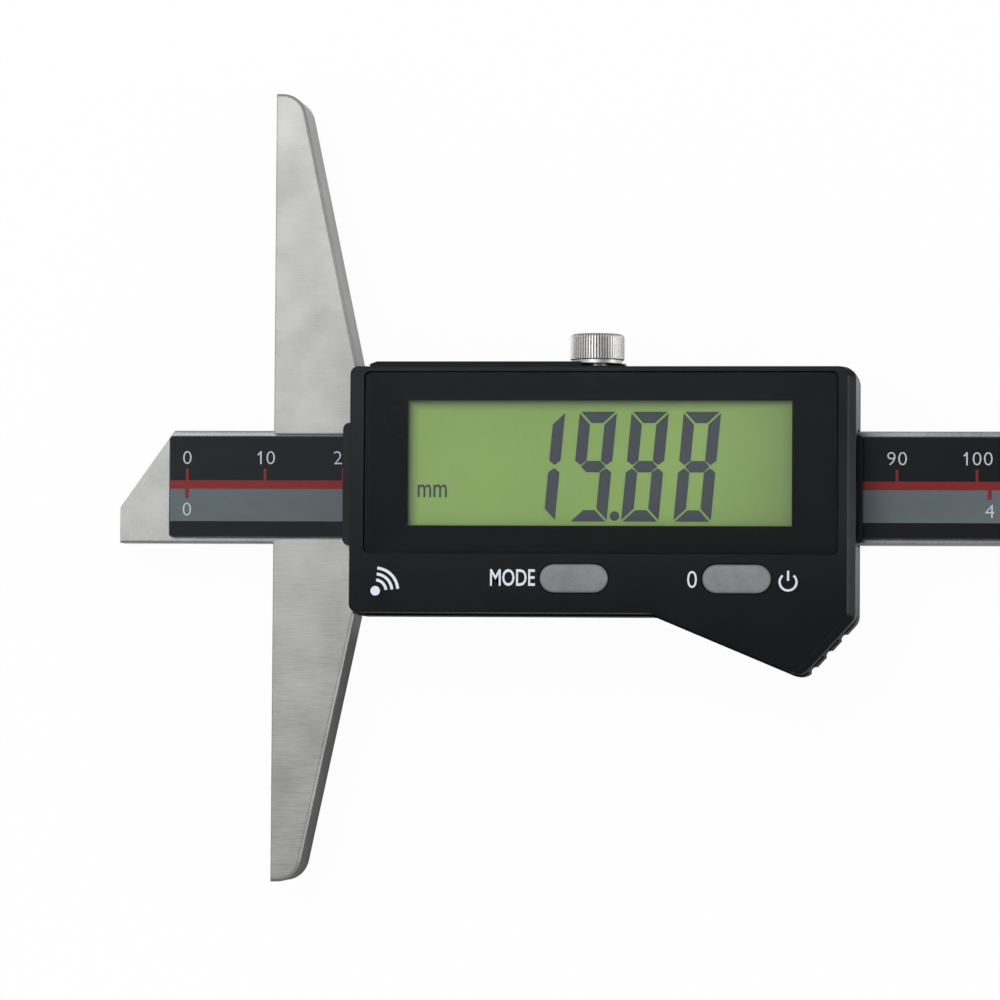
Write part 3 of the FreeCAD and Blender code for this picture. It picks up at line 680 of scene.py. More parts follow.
@dataclass(frozen=True)
class Laminate(Finish):
    """Circuit board or scale laminate: solder mask over faint copper tracks."""

    mask: Colour
    track: Colour
    tracks_per_metre: float = 220.0
    track_width: float = 0.035

    def build(self) -> bpy.types.Material:
        """Return the material."""
        graph = Graph(self.name)
        mask = linear(self.mask)
        tracks = graph.add("ShaderNodeTexBrick", {
            "Vector": graph.place, "Scale": self.tracks_per_metre, "Mortar Size": self.track_width,
            "Color1": mask, "Color2": mask, "Mortar": linear(self.track),
        })
        patches = graph.noise(6 * MM)
        return graph.shade(
            Base_Color=graph.blend(graph.wander(patches, 0.0, 0.35), tracks.outputs["Color"], mask),
            Roughness=graph.wander(patches, 0.35, 0.5),
            Normal=graph.bump(tracks.outputs["Fac"], 0.03 * MM, 0.5),
        )


# The finish of each material slot that the record names
FINISHES: dict[str, Finish] = {
    "ground_steel": GroundMetal(
        "beam_steel", (127, 127, 126), (161, 161, 160), Grain.MOTTLED, 0.22 * MM, worn=0.15 * MM
    ),
    "base_steel": GroundMetal("base_steel", (125, 125, 124), (157, 157, 156), worn=0.3 * MM),
    "frame_steel": GroundMetal("frame_steel", (140, 142, 146), (160, 162, 166)),
    "screw_steel": GroundMetal(
        "screw_steel", (150, 152, 156), (190, 192, 196), Grain.EVEN, 0.2 * MM, 0.28
    ),
    "knob_steel": GroundMetal(
        "plain_knob_steel", (168, 167, 166), (206, 205, 204), Grain.ALONG_Y, 0.1 * MM, 0.22
    ),
    "pad_brass": GroundMetal(
        "pad_brass", (176, 142, 78), (206, 174, 104), Grain.EVEN, 0.2 * MM, 0.3
    ),
    "contact_metal": GroundMetal(
        "contact_metal", (196, 168, 96), (222, 196, 122), Grain.ALONG_X, 0.2 * MM, 0.25
    ),
    "cell_steel": GroundMetal(
        "cell_steel", (180, 182, 184), (204, 206, 208), Grain.EVEN, 0.3 * MM, 0.22
    ),
    "reflector_foil": GroundMetal(
        "reflector_foil", (206, 208, 210), (226, 228, 230), Grain.EVEN, 0.4 * MM, 0.35
    ),
    "housing_black": Moulded("housing_black", (2, 2, 3), (5, 6, 7), 0.32, 0.135, polish=0.16),
    "holder_plastic": Moulded("holder_plastic", (196, 198, 196), (212, 214, 212), 0.45, 0.4),
    "switch_plastic": Moulded("switch_plastic", (28, 28, 30), (40, 40, 42), 0.4, 0.4),
    "chip_resin": Moulded("chip_resin", (24, 25, 27), (34, 35, 37), 0.55, 0.3),
    "wiper_rubber": Moulded("wiper_rubber", (20, 21, 23), (27, 28, 31), 0.4, 0.18),
    "seal_rubber": Moulded("seal_rubber", (30, 31, 33), (44, 45, 47), 0.7, 0.2),
    "contact_rubber": Moulded("contact_rubber", (64, 66, 70), (92, 94, 98), 0.7, 0.2),
    # the second colour serves the specks and the painted shade round each key's foot
    "button_rubber": SpeckledRubber("key_rubber", (124, 127, 129), (84, 86, 88), (138, 140, 142)),
    "gasket_foil": PrintedFilm("gasket_foil", (4, 5, 6), (8, 9, 10), 0.3, 0.04),
    "label_film": PrintedFilm("label_film", (11, 13, 15), (16, 18, 21), 0.26, 0.14),
    "scale_laminate": Laminate("scale_laminate", (24, 26, 27), (38, 40, 41)),
    "board_laminate": Laminate("board_laminate", (20, 84, 52), (58, 122, 78)),
    "window_clear": ClearWindow("window_clear"),
    "lcd_glass": DisplayGlass(
        # the third colour is the painted shade along the display's sides
        "lcd_glass", (149, 185, 103), (161, 196, 113), (106, 119, 91),
        (17.9 * MM, -5.09 * MM), (66.04 * MM, 10.57 * MM),
    ),
}


@dataclass(frozen=True)
class Lamp:
    """Soft square lamp."""

    name: str
    place: Spot
    target: Spot
    size: float
    watts: float

    def build(self) -> None:
        """Hang the lamp."""
        data = bpy.data.lights.new(self.name, "AREA")
        data.size = self.size
        data.energy = self.watts
        lamp = hang(self.name, data)
        lamp.location = self.place
        facing = Vector(self.target) - Vector(self.place)
        lamp.rotation_euler = facing.to_track_quat("-Z", "Y").to_euler()


@dataclass(frozen=True)
class Studio:
    """Pale table, white surroundings and soft lamps."""

    table: Colour = (250, 250, 250)
    table_cloud: Colour = (246, 246, 246)
    cloud: float = 0.4
    table_reach: float = 3.0
    roughness: float = 0.9
    veil: float = 0.965
    mirrored_veil: float = 0.4
    shaded_veil: float = 0.75
    # painted shadow on the table's near side, seen only in reflections
    shaded_glow: float = 0.12
    shade_from: float = -5.0 * MM
    shade_to: float = -20.0 * MM
    horizon: float = 1.0
    zenith: float = 0.24
    low_light: float = 0.25
    high_light: float = 0.75
    lamps: tuple[Lamp, ...] = (
        Lamp("key", (-0.26, 0.35, 0.95), (-0.26, 0.35, 0.0), 0.66, 3.9),
        Lamp("left", (-0.42, -0.16, 0.95), (-0.42, -0.16, 0.0), 0.5, 0.9),
        Lamp("near", (-0.02, 0.22, 0.32), (0.0, 0.02, 0.0), 0.16, 0.16),
        Lamp("right", (0.70, -0.03, 0.13), (0.05, -0.02, 0.01), 0.3, 0.9),
        Lamp("fill", (0.45, -0.35, 0.8), (0.05, 0.0, 0.0), 0.7, 0.2),
    )

    def build(self) -> None:
        """Make the table, the world and the lamps."""
        self.lay_table()
        self.surround()
        for lamp in self.lamps:
            lamp.build()

    def lay_table(self) -> None:
        """Make the table top, pale to the eye, with a painted shadow on its near side that shows only
        in reflections.
        """
        far = self.table_reach
        corners = [(-far, -far, 0), (far, -far, 0), (far, far, 0), (-far, far, 0)]
        table = hang("table", new_mesh("table", corners, [(0, 1, 2, 3)]))
        graph = Graph("table_top")
        tone = graph.noise(self.cloud)
        matt = graph.add("ShaderNodeBsdfPrincipled", {
            "Base Color": graph.blend(tone, linear(self.table_cloud), linear(self.table)),
            "Roughness": self.roughness,
        })
        path = graph.add("ShaderNodeLightPath")
        y = graph.axis("Y")
        # painted shadow in reflections: the table's glow and its share fall off on its near side
        lit = graph.span(y, self.shade_to, self.shade_from, self.shaded_glow, 1.0)
        share = graph.span(y, self.shade_to, self.shade_from, self.shaded_veil, self.mirrored_veil)
        glow = graph.add("ShaderNodeEmission", {
            "Color": WHITE, "Strength": graph.maths("MAXIMUM", lit, path.outputs["Is Camera Ray"]),
        })
        eye = graph.maths("MULTIPLY", path.outputs["Is Camera Ray"], self.veil)
        mirrored = graph.maths("MULTIPLY", path.outputs["Is Glossy Ray"], share)
        seen = graph.maths("MAXIMUM", eye, mirrored)
        mix = graph.add("ShaderNodeMixShader", {0: seen, 1: matt.outputs[0], 2: glow.outputs[0]})
        graph.add("ShaderNodeOutputMaterial", {"Surface": mix.outputs[0]})
        table.data.materials.append(graph.material)

    def surround(self) -> None:
        """White all round for the eye, pale low down and grey overhead for everything else."""
        world = bpy.data.worlds.new("surroundings")
        bpy.context.scene.world = world
        world.use_nodes = True
        sky = NodeGraph(world.node_tree)
        path = sky.add("ShaderNodeLightPath").outputs
        seen = sky.maths("MAXIMUM", path["Is Camera Ray"], path["Is Transmission Ray"])
        heading = sky.add("ShaderNodeTexCoord").outputs["Generated"]
        up = sky.add("ShaderNodeSeparateXYZ", {"Vector": heading}).outputs["Z"]
        strength = sky.span(up, self.low_light, self.high_light, self.horizon, self.zenith)
        soft = sky.add("ShaderNodeBackground", {"Color": WHITE, "Strength": strength})
        white = sky.add("ShaderNodeBackground", {"Color": WHITE})
        mix = sky.add("ShaderNodeMixShader", {0: seen, 1: soft.outputs[0], 2: white.outputs[0]})
        sky.add("ShaderNodeOutputWorld", {"Surface": mix.outputs[0]})


@dataclass(frozen=True)
class PhotoView:
    """The photograph's own viewpoint."""

    place: Spot = (0.1016, -0.03009, 0.69185)
    tilt: Spot = (2.382, 6.065, 0.135)
    focal_length: float = 196.26
    sensor: float = 36.0
    nearest: float = 0.01

    def build(self) -> None:
        """Make the camera."""
        data = bpy.data.cameras.new("photo_view")
        data.lens = self.focal_length
        data.sensor_width = self.sensor
        data.clip_start = self.nearest
        camera = hang("photo_view", data)
        turn = Matrix.Translation(self.place)
        for angle, axis in zip(self.tilt, "XYZ"):
            turn = turn @ Matrix.Rotation(math.radians(angle), 4, axis)
        camera.matrix_world = turn
        bpy.context.scene.camera = camera


class PatternTree(NodeGraph):
    """Geometry Nodes tree with named inputs that is applied to a plain mesh."""

    def __init__(self, name: str) -> None:
        """Start the tree with its geometry sockets.

        Args:
            name: The tree's name.
        """
        super().__init__(bpy.data.node_groups.new(name, "GeometryNodeTree"))
        for way in ("INPUT", "OUTPUT"):
            self.tree.interface.new_socket("Geometry", in_out=way, socket_type="NodeSocketGeometry")
        self.source = self.add("NodeGroupInput")
        self.keys: dict[str, str] = {}

    def input(self, name: str, kind: str) -> Socket:
        """Add a named input.

        Args:
            name: The input's name.
            kind: The end of the socket's type, such as Int.

        Returns:
            The output of the group input node that carries it.
        """
        kind = "NodeSocket" + kind
        socket = self.tree.interface.new_socket(name, in_out="INPUT", socket_type=kind)
        self.keys[name] = socket.identifier
        return self.source.outputs[name]

    def end(self, instances: Socket, material: Socket) -> None:
        """Make the instances real, give them their material and close the tree.

        Args:
            instances: What the tree makes.
            material: The material input.
        """
        real = self.add("GeometryNodeRealizeInstances", {"Geometry": instances}).outputs[0]
        inputs = {"Geometry": real, "Material": material}
        self.add("NodeGroupOutput", {0: self.add("GeometryNodeSetMaterial", inputs).outputs[0]})

    def apply(self, name: str, host: bpy.types.Mesh, values: dict[str, object]) -> bpy.types.Mesh:
        """Run the tree on a mesh.

        Args:
            name: The new mesh's name.
            host: The mesh that the tree starts from.
            values: What each named input gets.

        Returns:
            A plain mesh with the tree's result.
        """
        carrier = hang(name + "_carrier", host)
        modifier = carrier.modifiers.new("pattern", "NODES")
        modifier.node_group = self.tree
        for key, value in values.items():
            modifier[self.keys[key]] = value
        mesh = evaluated(carrier)
        mesh.name = name
        bpy.data.objects.remove(carrier)
        return mesh


class Workshop:
    """Makes plain meshes and puts finished pieces on their bodies."""

    def __init__(self, frame: dict[str, object]) -> None:
        """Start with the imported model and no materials.
        """
        self.frame = frame
        self.materials: dict[str, bpy.types.Material] = {}

    def material(self, finish: Finish) -> bpy.types.Material:
        """Return a finish's material, built once."""
        if finish.name not in self.materials:
            self.materials[finish.name] = finish.build()
        return self.materials[finish.name]

    def place(
        self, name: str, mesh: bpy.types.Mesh, finish: Finish, body: Body, slot: str
    ) -> bpy.types.Object:
        """Put a piece into the scene.

        Args:
            name: The piece's name.
            mesh: Its mesh, already in place.
            finish: Its finish.
            body: What it moves with.
            slot: The record's material slot it stands for; not used.

        Returns:
            The piece.
        """
        mesh.materials.clear()
        mesh.materials.append(self.material(finish))
        piece = hang(name, mesh)
        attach(piece, body.value)
        LOG.info("%s rides on %s, %d faces", name, body.value, len(mesh.polygons))
        return piece

    def plates(
        self, name: str, outlines: Iterable[Sequence[Point]], low: float, high: float
    ) -> bpy.types.Mesh:
        """Make flat plates.

        Args:
            name: The mesh's name.
            outlines: Each plate's corners, in metres, anticlockwise.
            low: Height of their backs.
            high: Height of their fronts.

        Returns:
            One mesh of all the plates.
        """
        points: list[Spot] = []
        faces: list[Face] = []
        for outline in outlines:
            rings = [[(x, y, level) for x, y in outline] for level in (low, high)]
            more_points, more_faces = skin(rings, len(points))
            points += more_points
            faces += more_faces
        return new_mesh(name, points, faces)

    def lettering(
        self, name: str, words: Sequence[tuple[str, Point]], height: float, low: float,
        width: float = 1.0, weight: float = 0.0, reach: float = 0.0,
    ) -> bpy.types.Mesh:
        """Make words as thin plates, each centred on its place.

        Args:
            name: The mesh's name.
            words: Each word and the middle of it, in metres.
            height: Height of a capital or a figure in metres.
            low: Level of the plates' backs.
            width: Factor on the letters' width.
            weight: How much fatter the strokes are, as a share of the size.
            reach: Length of each word in metres, in place of the factor on its width.

        Returns:
            One mesh of all the words.
        """
        joined = bmesh.new()
        for text, (x, y) in words:
            curve = bpy.data.curves.new(name, "FONT")
            curve.body = text
            curve.extrude = 0.01
            curve.offset = weight
            curve.resolution_u = 3
            holder = hang(name, curve)
            mesh = evaluated(holder)
            bpy.data.objects.remove(holder)
            xs = [vertex.co.x for vertex in mesh.vertices]
            ys = [vertex.co.y for vertex in mesh.vertices]
            scale = height / (max(ys) - min(ys))
            if reach:
                width = reach / (scale * (max(xs) - min(xs)))
            middle = Vector(((max(xs) + min(xs)) / 2, (max(ys) + min(ys)) / 2, 0))
            for vertex in mesh.vertices:
                spot = vertex.co - middle
                level = low if spot.z < 0 else low + FILM
                vertex.co = (x + spot.x * scale * width, y + spot.y * scale, level)
            joined.from_mesh(mesh)
            bpy.data.meshes.remove(mesh)
        bmesh.ops.remove_doubles(joined, verts=joined.verts, dist=LETTER_MERGE)
        result = bpy.data.meshes.new(name)
        joined.to_mesh(result)
        joined.free()
        return result


@dataclass
class TickRow:
    """A row of equal marks, made by Geometry Nodes."""

    name: str
    count: int
    start: Spot
    step: Spot
    size: Spot

    def build(self, material: bpy.types.Material) -> bpy.types.Mesh:
        """Make the marks.

        Args:
            material: What they are printed with.

        Returns:
            One mesh of all the marks.
        """
        pattern = PatternTree(self.name)
        count = pattern.input("Count", "Int")
        start = pattern.input("Start", "Vector")
        step = pattern.input("Step", "Vector")
        size = pattern.input("Size", "Vector")
        ink = pattern.input("Ink", "Material")
        line = pattern.add(
            "GeometryNodeMeshLine", {"Count": count, "Start Location": start, "Offset": step}
        )
        mark = pattern.add("GeometryNodeMeshCube", {"Size": size})
        inputs = {"Points": line.outputs[0], "Instance": mark.outputs[0]}
        marks = pattern.add("GeometryNodeInstanceOnPoints", inputs)
        pattern.end(marks.outputs[0], ink)
        return pattern.apply(self.name, bpy.data.meshes.new(self.name + "_host"), {
            "Count": self.count, "Start": Vector(self.start), "Step": Vector(self.step),
            "Size": Vector(self.size), "Ink": material,
        })


@dataclass
class Assembly(ABC):
    """A group of pieces with its sizes."""

    shop: Workshop

    @abstractmethod
    def build(self) -> None:
        """Make the pieces."""


@dataclass
class Dressing(Assembly):
    """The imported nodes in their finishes."""

    def build(self) -> None:
        """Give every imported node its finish, by the slot that the record states."""
        slots = {}
        for entry in self.shop.frame["record"]["subparts"]:
            slots[entry["node"]] = entry["material_slot"]
        for name, node in self.shop.frame["nodes"].items():
            material = self.shop.material(FINISHES[slots[name]])
            node.data.materials.clear()
            node.data.materials.append(material)
            LOG.info("%s is dressed in %s", name, material.name)


@dataclass
class Screws(Assembly):
    """Round-headed cross-recess screws that stand on their heads at several places."""

    node: str
    body: Body
    length: float
    slot: str = "screw_steel"
    head_radius: float = 1.45 * MM
    head_height: float = 0.7 * MM
    shank_radius: float = 0.78 * MM
    edge: float = 0.18 * MM
    arm: float = 0.34 * MM
    reach: float = 1.0 * MM
    depth: float = 0.5 * MM
    sides: int = 28
    seed: int = 4

    def places(self) -> list[Vector]:
        """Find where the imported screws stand.

        Returns:
            The middle of each screw's head at its underside.
        """
        mesh = bmesh.new()
        mesh.from_mesh(self.shop.frame["nodes"][self.node].data)
        bmesh.ops.remove_doubles(mesh, verts=mesh.verts, dist=SCREW_MERGE)
        left = set(mesh.verts)
        found = []
        while left:
            stack = [left.pop()]
            island = []
            while stack:
                vertex = stack.pop()
                island.append(vertex.co.copy())
                for edge in vertex.link_edges:
                    other = edge.other_vert(vertex)
                    if other in left:
                        left.remove(other)
                        stack.append(other)
            xs = [point.x for point in island]
            ys = [point.y for point in island]
            low = min(point.z for point in island)
            found.append(Vector(((max(xs) + min(xs)) / 2, (max(ys) + min(ys)) / 2, low)))
        mesh.free()
        return sorted(found, key=lambda place: (round(place.x, 6), place.y))

    def one(self) -> bpy.types.Object:
        """Make one screw with its head's underside at the origin.

        Returns:
            A loose object, not yet part of the caliper.
        """
        name = self.node + "_one"
        profile = [
            (self.head_radius - self.edge, 0.0),
            (self.head_radius - 0.3 * self.edge, 0.3 * self.edge),
            (self.head_radius, self.edge),
            (self.head_radius, self.head_height),
            (self.shank_radius, self.head_height),
            (self.shank_radius, self.length - self.shank_radius / 2),
            (self.shank_radius / 2, self.length),
        ]
        rings = [[(x, y, z) for x, y in circle((0, 0), r, self.sides)] for r, z in profile]
        screw = hang(name, new_mesh(name, *skin(rings)))
        half = self.arm / 2
        arm = [(half, -half), (self.reach, -half), (self.reach, half)]
        cross = []
        for cosine, sine in ((1, 0), (0, 1), (-1, 0), (0, -1)):
            cross += [(cosine * x - sine * y, sine * x + cosine * y) for x, y in arm]
        cutter = hang("recess", self.shop.plates("recess", [cross], -self.depth, self.depth))
        carve = screw.modifiers.new("recess", "BOOLEAN")
        carve.object = cutter
        carve.solver = "EXACT"
        carved = evaluated(screw)
        screw.modifiers.clear()
        screw.data = carved
        bpy.data.objects.remove(cutter)
        return screw

    def build(self) -> None:
        """Set a screw at each place, each turned its own way."""
        pattern = PatternTree(self.node + "_set")
        screw_input = pattern.input("Screw", "Object")
        seed_input = pattern.input("Seed", "Int")
        steel_input = pattern.input("Steel", "Material")
        shape = pattern.add("GeometryNodeObjectInfo", {"Object": screw_input})
        limits = {0: (0.0, 0.0, 0.0), 1: (0.0, 0.0, math.pi / 2), "Seed": seed_input}
        turn = pattern.add("FunctionNodeRandomValue", limits, data_type="FLOAT_VECTOR")
        places = {"Mesh": pattern.source.outputs["Geometry"]}
        points = pattern.add("GeometryNodeMeshToPoints", places)
        screws = pattern.add("GeometryNodeInstanceOnPoints", {
            "Points": points.outputs[0], "Instance": shape.outputs["Geometry"],
            "Rotation": turn.outputs[0],
        })
        pattern.end(screws.outputs[0], steel_input)
        name = self.node + "_detail"
        finish = FINISHES[self.slot]
        one = self.one()
        mesh = pattern.apply(name, new_mesh(self.node + "_places", self.places()), {
            "Screw": one, "Seed": self.seed, "Steel": self.shop.material(finish),
        })
        bpy.data.objects.remove(one)
        piece = self.shop.place(name, mesh, finish, self.body, self.slot)
        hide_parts(self.node)


@dataclass
class Scale(Assembly):
    """What is printed on the beam's label."""

    slot: str = "label_film"
    front: float = 7.85 * MM
    start: float = -13.3 * MM
    end: float = 208.96 * MM
    zero: float = -11.13 * MM
    red_top: float = 0.79 * MM
    red_bottom: float = -0.31 * MM
    band_bottom: float = -4.40 * MM
    tick_width: float = 0.35 * MM
    inch_tick_width: float = 0.5 * MM
    tick_top: float = 2.27 * MM
    inch_tick_bottom: float = -1.48 * MM
    figure_height: float = 1.66 * MM
    figure_pitch: float = 1.40 * MM
    figure_width: float = 1.06
    figure_weight: float = -0.012
    one_shift: float = 0.05 * MM
    one_stroke: float = 0.19 * MM
    figure_middle: float = 3.67 * MM
    inch_figure_middle: float = -2.89 * MM
    step: float = 10 * MM
    inch: float = 25.4 * MM
    range_steps: int = 15
    red: PrintedFilm = PrintedFilm("scale_red", (121, 32, 34), (133, 42, 43), 0.28, 0.14)
    band: PrintedFilm = PrintedFilm("scale_band", (90, 100, 104), (101, 110, 114), 0.28, 0.14)
    pale: PrintedFilm = PrintedFilm("scale_figures", (188, 194, 206), (206, 211, 222), 0.36, 0.14)

    def build(self) -> None:
        """Print the bands, the marks and the figures."""
        for name, low, high, finish in (
            ("label_red_stripe", self.red_bottom, self.red_top, self.red),
            ("label_band", self.band_bottom, self.red_bottom, self.band),
        ):
            outline = [(self.start, low), (self.end, low), (self.end, high), (self.start, high)]
            mesh = self.shop.plates(name, [outline], self.front, self.front + FILM)
            self.shop.place(name, mesh, finish, Body.BEAM, self.slot)
        count = self.range_steps + 1
        inches = int(self.range_steps * self.step / self.inch) + 2
        level = self.front + FILM
        for name, marks, step, width, low, high in (
            ("label_mm_marks", count, self.step, self.tick_width, self.red_top, self.tick_top),
            (
                "label_inch_marks", inches, self.inch, self.inch_tick_width,
                self.inch_tick_bottom, self.red_bottom,
            ),
        ):
            start = (self.zero, (low + high) / 2, level)
            row = TickRow(name, marks, start, (step, 0, 0), (width, high - low, FILM))
            mesh = row.build(self.shop.material(self.red))
            self.shop.place(name, mesh, self.red, Body.BEAM, self.slot)
        words = [
            (str(10 * n), (self.zero + n * self.step, self.figure_middle)) for n in range(count)
        ]
        self.print_figures("label_mm", words, self.front)
        words = [
            (str(n), (self.zero + n * self.inch, self.inch_figure_middle)) for n in range(inches)
        ]
        self.print_figures("label_inch", words, level)

    def one(self, middle: Point) -> list[Point]:
        """Outline of a figure 1 with a slanted flag.

        Args:
            middle: Middle of the figure's cell.

        Returns:
            The outline, anticlockwise.
        """
        x = middle[0] + self.one_shift
        foot = middle[1] - self.figure_height / 2
        top = middle[1] + self.figure_height / 2
        stroke = self.one_stroke
        flag = x - 1.6 * stroke
        return [
            (x, foot), (x + stroke, foot), (x + stroke, top), (x + 0.35 * stroke, top),
            (flag, top - 2.0 * stroke), (flag, top - 3.1 * stroke), (x, top - 1.9 * stroke),
        ]

    def print_figures(self, name: str, words: Sequence[tuple[str, Point]], level: float) -> None:
        """Print numbers figure by figure.

        Args:
            name: Start of the pieces' names.
            words: Each number and its middle.
            level: What it is printed on.
        """
        others = []
        ones = []
        for text, (x, y) in words:
            first = x - self.figure_pitch * (len(text) - 1) / 2
            for index, figure in enumerate(text):
                middle = (first + index * self.figure_pitch, y)
                if figure == "1":
                    ones.append(self.one(middle))
                else:
                    others.append((figure, middle))
        pieces = {
            name + "_figures": self.shop.lettering(
                name + "_figures", others, self.figure_height, level, self.figure_width,
                self.figure_weight,
            ),
            name + "_ones": self.shop.plates(name + "_ones", ones, level, level + FILM),
        }
        for piece, mesh in pieces.items():
            self.shop.place(piece, mesh, self.pale, Body.BEAM, self.slot)


@dataclass
class Readout(Assembly):
    """Figures of the display, each made of up to seven bars."""

    slot: str = "lcd_glass"
    level: float = 13.36 * MM
    digits: tuple[tuple[str, float], ...] = (
        ("bc", 37.60 * MM), ("abcdfg", 44.10 * MM), ("abcdefg", 50.60 * MM), ("abcdefg", 57.14 * MM),
    )
    top: float = 9.22 * MM
    height: float = 13.75 * MM
    width: float = 4.67 * MM
    stroke: float = 1.43 * MM
    gap: float = 0.25 * MM
    slant: float = 5.2
    shoulder: float = 0.73 * MM
    point: float = 0.19 * MM
    tip_inset: float = 0.8 * MM
    dot: Point = (43.85 * MM, -3.84 * MM)
    dot_radius: float = 0.6 * MM
    dot_sides: int = 24
    unit: Point = (20.9 * MM, -0.73 * MM)
    unit_height: float = 1.62 * MM
    unit_length: float = 3.7 * MM
    unit_weight: float = 0.006
    ink: PrintedFilm = PrintedFilm("display_segments", (72, 77, 83), (82, 87, 93), 0.45, 0.15)

    def bars(self) -> dict[str, list[Point]]:
        """Return each bar's upright outline, from the figure's lower left corner."""
        w, h, t = self.width, self.height, self.stroke
        m = h / 2
        cut = self.gap / math.sqrt(2)
        tip = self.tip_inset
        top_bar = [(w - cut, h), (cut, h), (t + cut, h - t), (w - t - cut, h - t)]
        upper_left = [
            (0, h - cut), (0, m + self.shoulder), (t / 2, m + self.point),
            (t, m + self.shoulder), (t, h - t - cut),
        ]
        middle = [
            (tip, m), (tip + t / 2, m - t / 2), (w - tip - t / 2, m - t / 2), (w - tip, m),
            (w - tip - t / 2, m + t / 2), (tip + t / 2, m + t / 2),
        ]
        return {
            "a": top_bar,
            "f": upper_left,
            "g": middle,
            "b": [(w - x, y) for x, y in reversed(upper_left)],
            "e": [(x, h - y) for x, y in reversed(upper_left)],
            "c": [(w - x, h - y) for x, y in upper_left],
            "d": [(x, h - y) for x, y in reversed(top_bar)],
        }

    def build(self) -> None:
        """Set the reading."""
        lean = math.tan(math.radians(self.slant))
        shapes = self.bars()
        outlines = []
        for lit, right in self.digits:
            left = right - self.width - self.height * lean
            foot = self.top - self.height
            for bar in lit:
                outlines.append([(left + x + y * lean, foot + y) for x, y in shapes[bar]])
        outlines.append(circle(self.dot, self.dot_radius, self.dot_sides))
        pieces = {
            "display_figures": self.shop.plates(
                "display_figures", outlines, self.level, self.level + FILM
            ),
            "display_unit": self.shop.lettering(
                "display_unit", [("mm", self.unit)], self.unit_height, self.level,
                weight=self.unit_weight, reach=self.unit_length,
            ),
        }
        for name, mesh in pieces.items():
            self.shop.place(name, mesh, self.ink, Body.SLIDER, self.slot)


@dataclass
class FrontMarks(Assembly):
    """Plain marks printed beside the keys."""

    slot: str = "housing_black"
    level: float = 15.5 * MM
    letter_height: float = 2.13 * MM
    mode: Point = (31.31 * MM, -11.63 * MM)
    mode_length: float = 5.64 * MM
    mode_weight: float = 0.012
    zero: Point = (53.75 * MM, -11.79 * MM)
    zero_length: float = 1.22 * MM
    zero_weight: float = -0.006
    power: Point = (65.69 * MM, -12.06 * MM)
    power_radius: float = 1.05 * MM
    power_stroke: float = 0.28 * MM
    power_bar_foot: float = 0.15 * MM
    power_bar_height: float = 1.25 * MM
    power_gap: Point = (130, 410)
    waves: Point = (14.05 * MM, -13.35 * MM)
    wave_radii: Spot = (1.35 * MM, 2.1 * MM, 2.85 * MM)
    wave_stroke: float = 0.36 * MM
    wave_angles: Point = (5, 85)
    source_radius: float = 0.6 * MM
    steps: int = 24
    ink: PrintedFilm = PrintedFilm("mark_print", (214, 226, 238), (228, 238, 248))

    def bent_bar(self, centre: Point, radius: float, width: float, angles: Point) -> list[Point]:
        """Outline of a bent bar.

        Args:
            centre: Middle of the arc.
            radius: Radius of its middle line.
            width: Width of the bar.
            angles: First and last angle in degrees.

        Returns:
            The outline, anticlockwise.
        """
        outer = arc(centre, radius + width / 2, *angles, self.steps)
        inner = arc(centre, radius - width / 2, *angles, self.steps)
        return outer + inner[::-1]

    def build(self) -> None:
        """Print the marks."""
        half = self.power_stroke / 2
        low = self.power[1] + self.power_bar_foot
        high = low + self.power_bar_height
        left = self.power[0] - half
        right = self.power[0] + half
        power = [
            self.bent_bar(self.power, self.power_radius, self.power_stroke, self.power_gap),
            [(left, low), (right, low), (right, high), (left, high)],
        ]
        waves = [circle(self.waves, self.source_radius, self.steps)]
        for radius in self.wave_radii:
            waves.append(self.bent_bar(self.waves, radius, self.wave_stroke, self.wave_angles))
        front = self.level + FILM
        pieces = {
            "mark_mode": self.shop.lettering(
                "mark_mode", [("MODE", self.mode)], self.letter_height, self.level,
                weight=self.mode_weight, reach=self.mode_length,
            ),
            "mark_zero": self.shop.lettering(
                "mark_zero", [("0", self.zero)], self.letter_height, self.level,
                weight=self.zero_weight, reach=self.zero_length,
            ),
            "mark_power": self.shop.plates("mark_power", power, self.level, front),
            "mark_signal": self.shop.plates("mark_signal", waves, self.level, front),
        }
        for name, mesh in pieces.items():
            self.shop.place(name, mesh, self.ink, Body.SLIDER, self.slot)


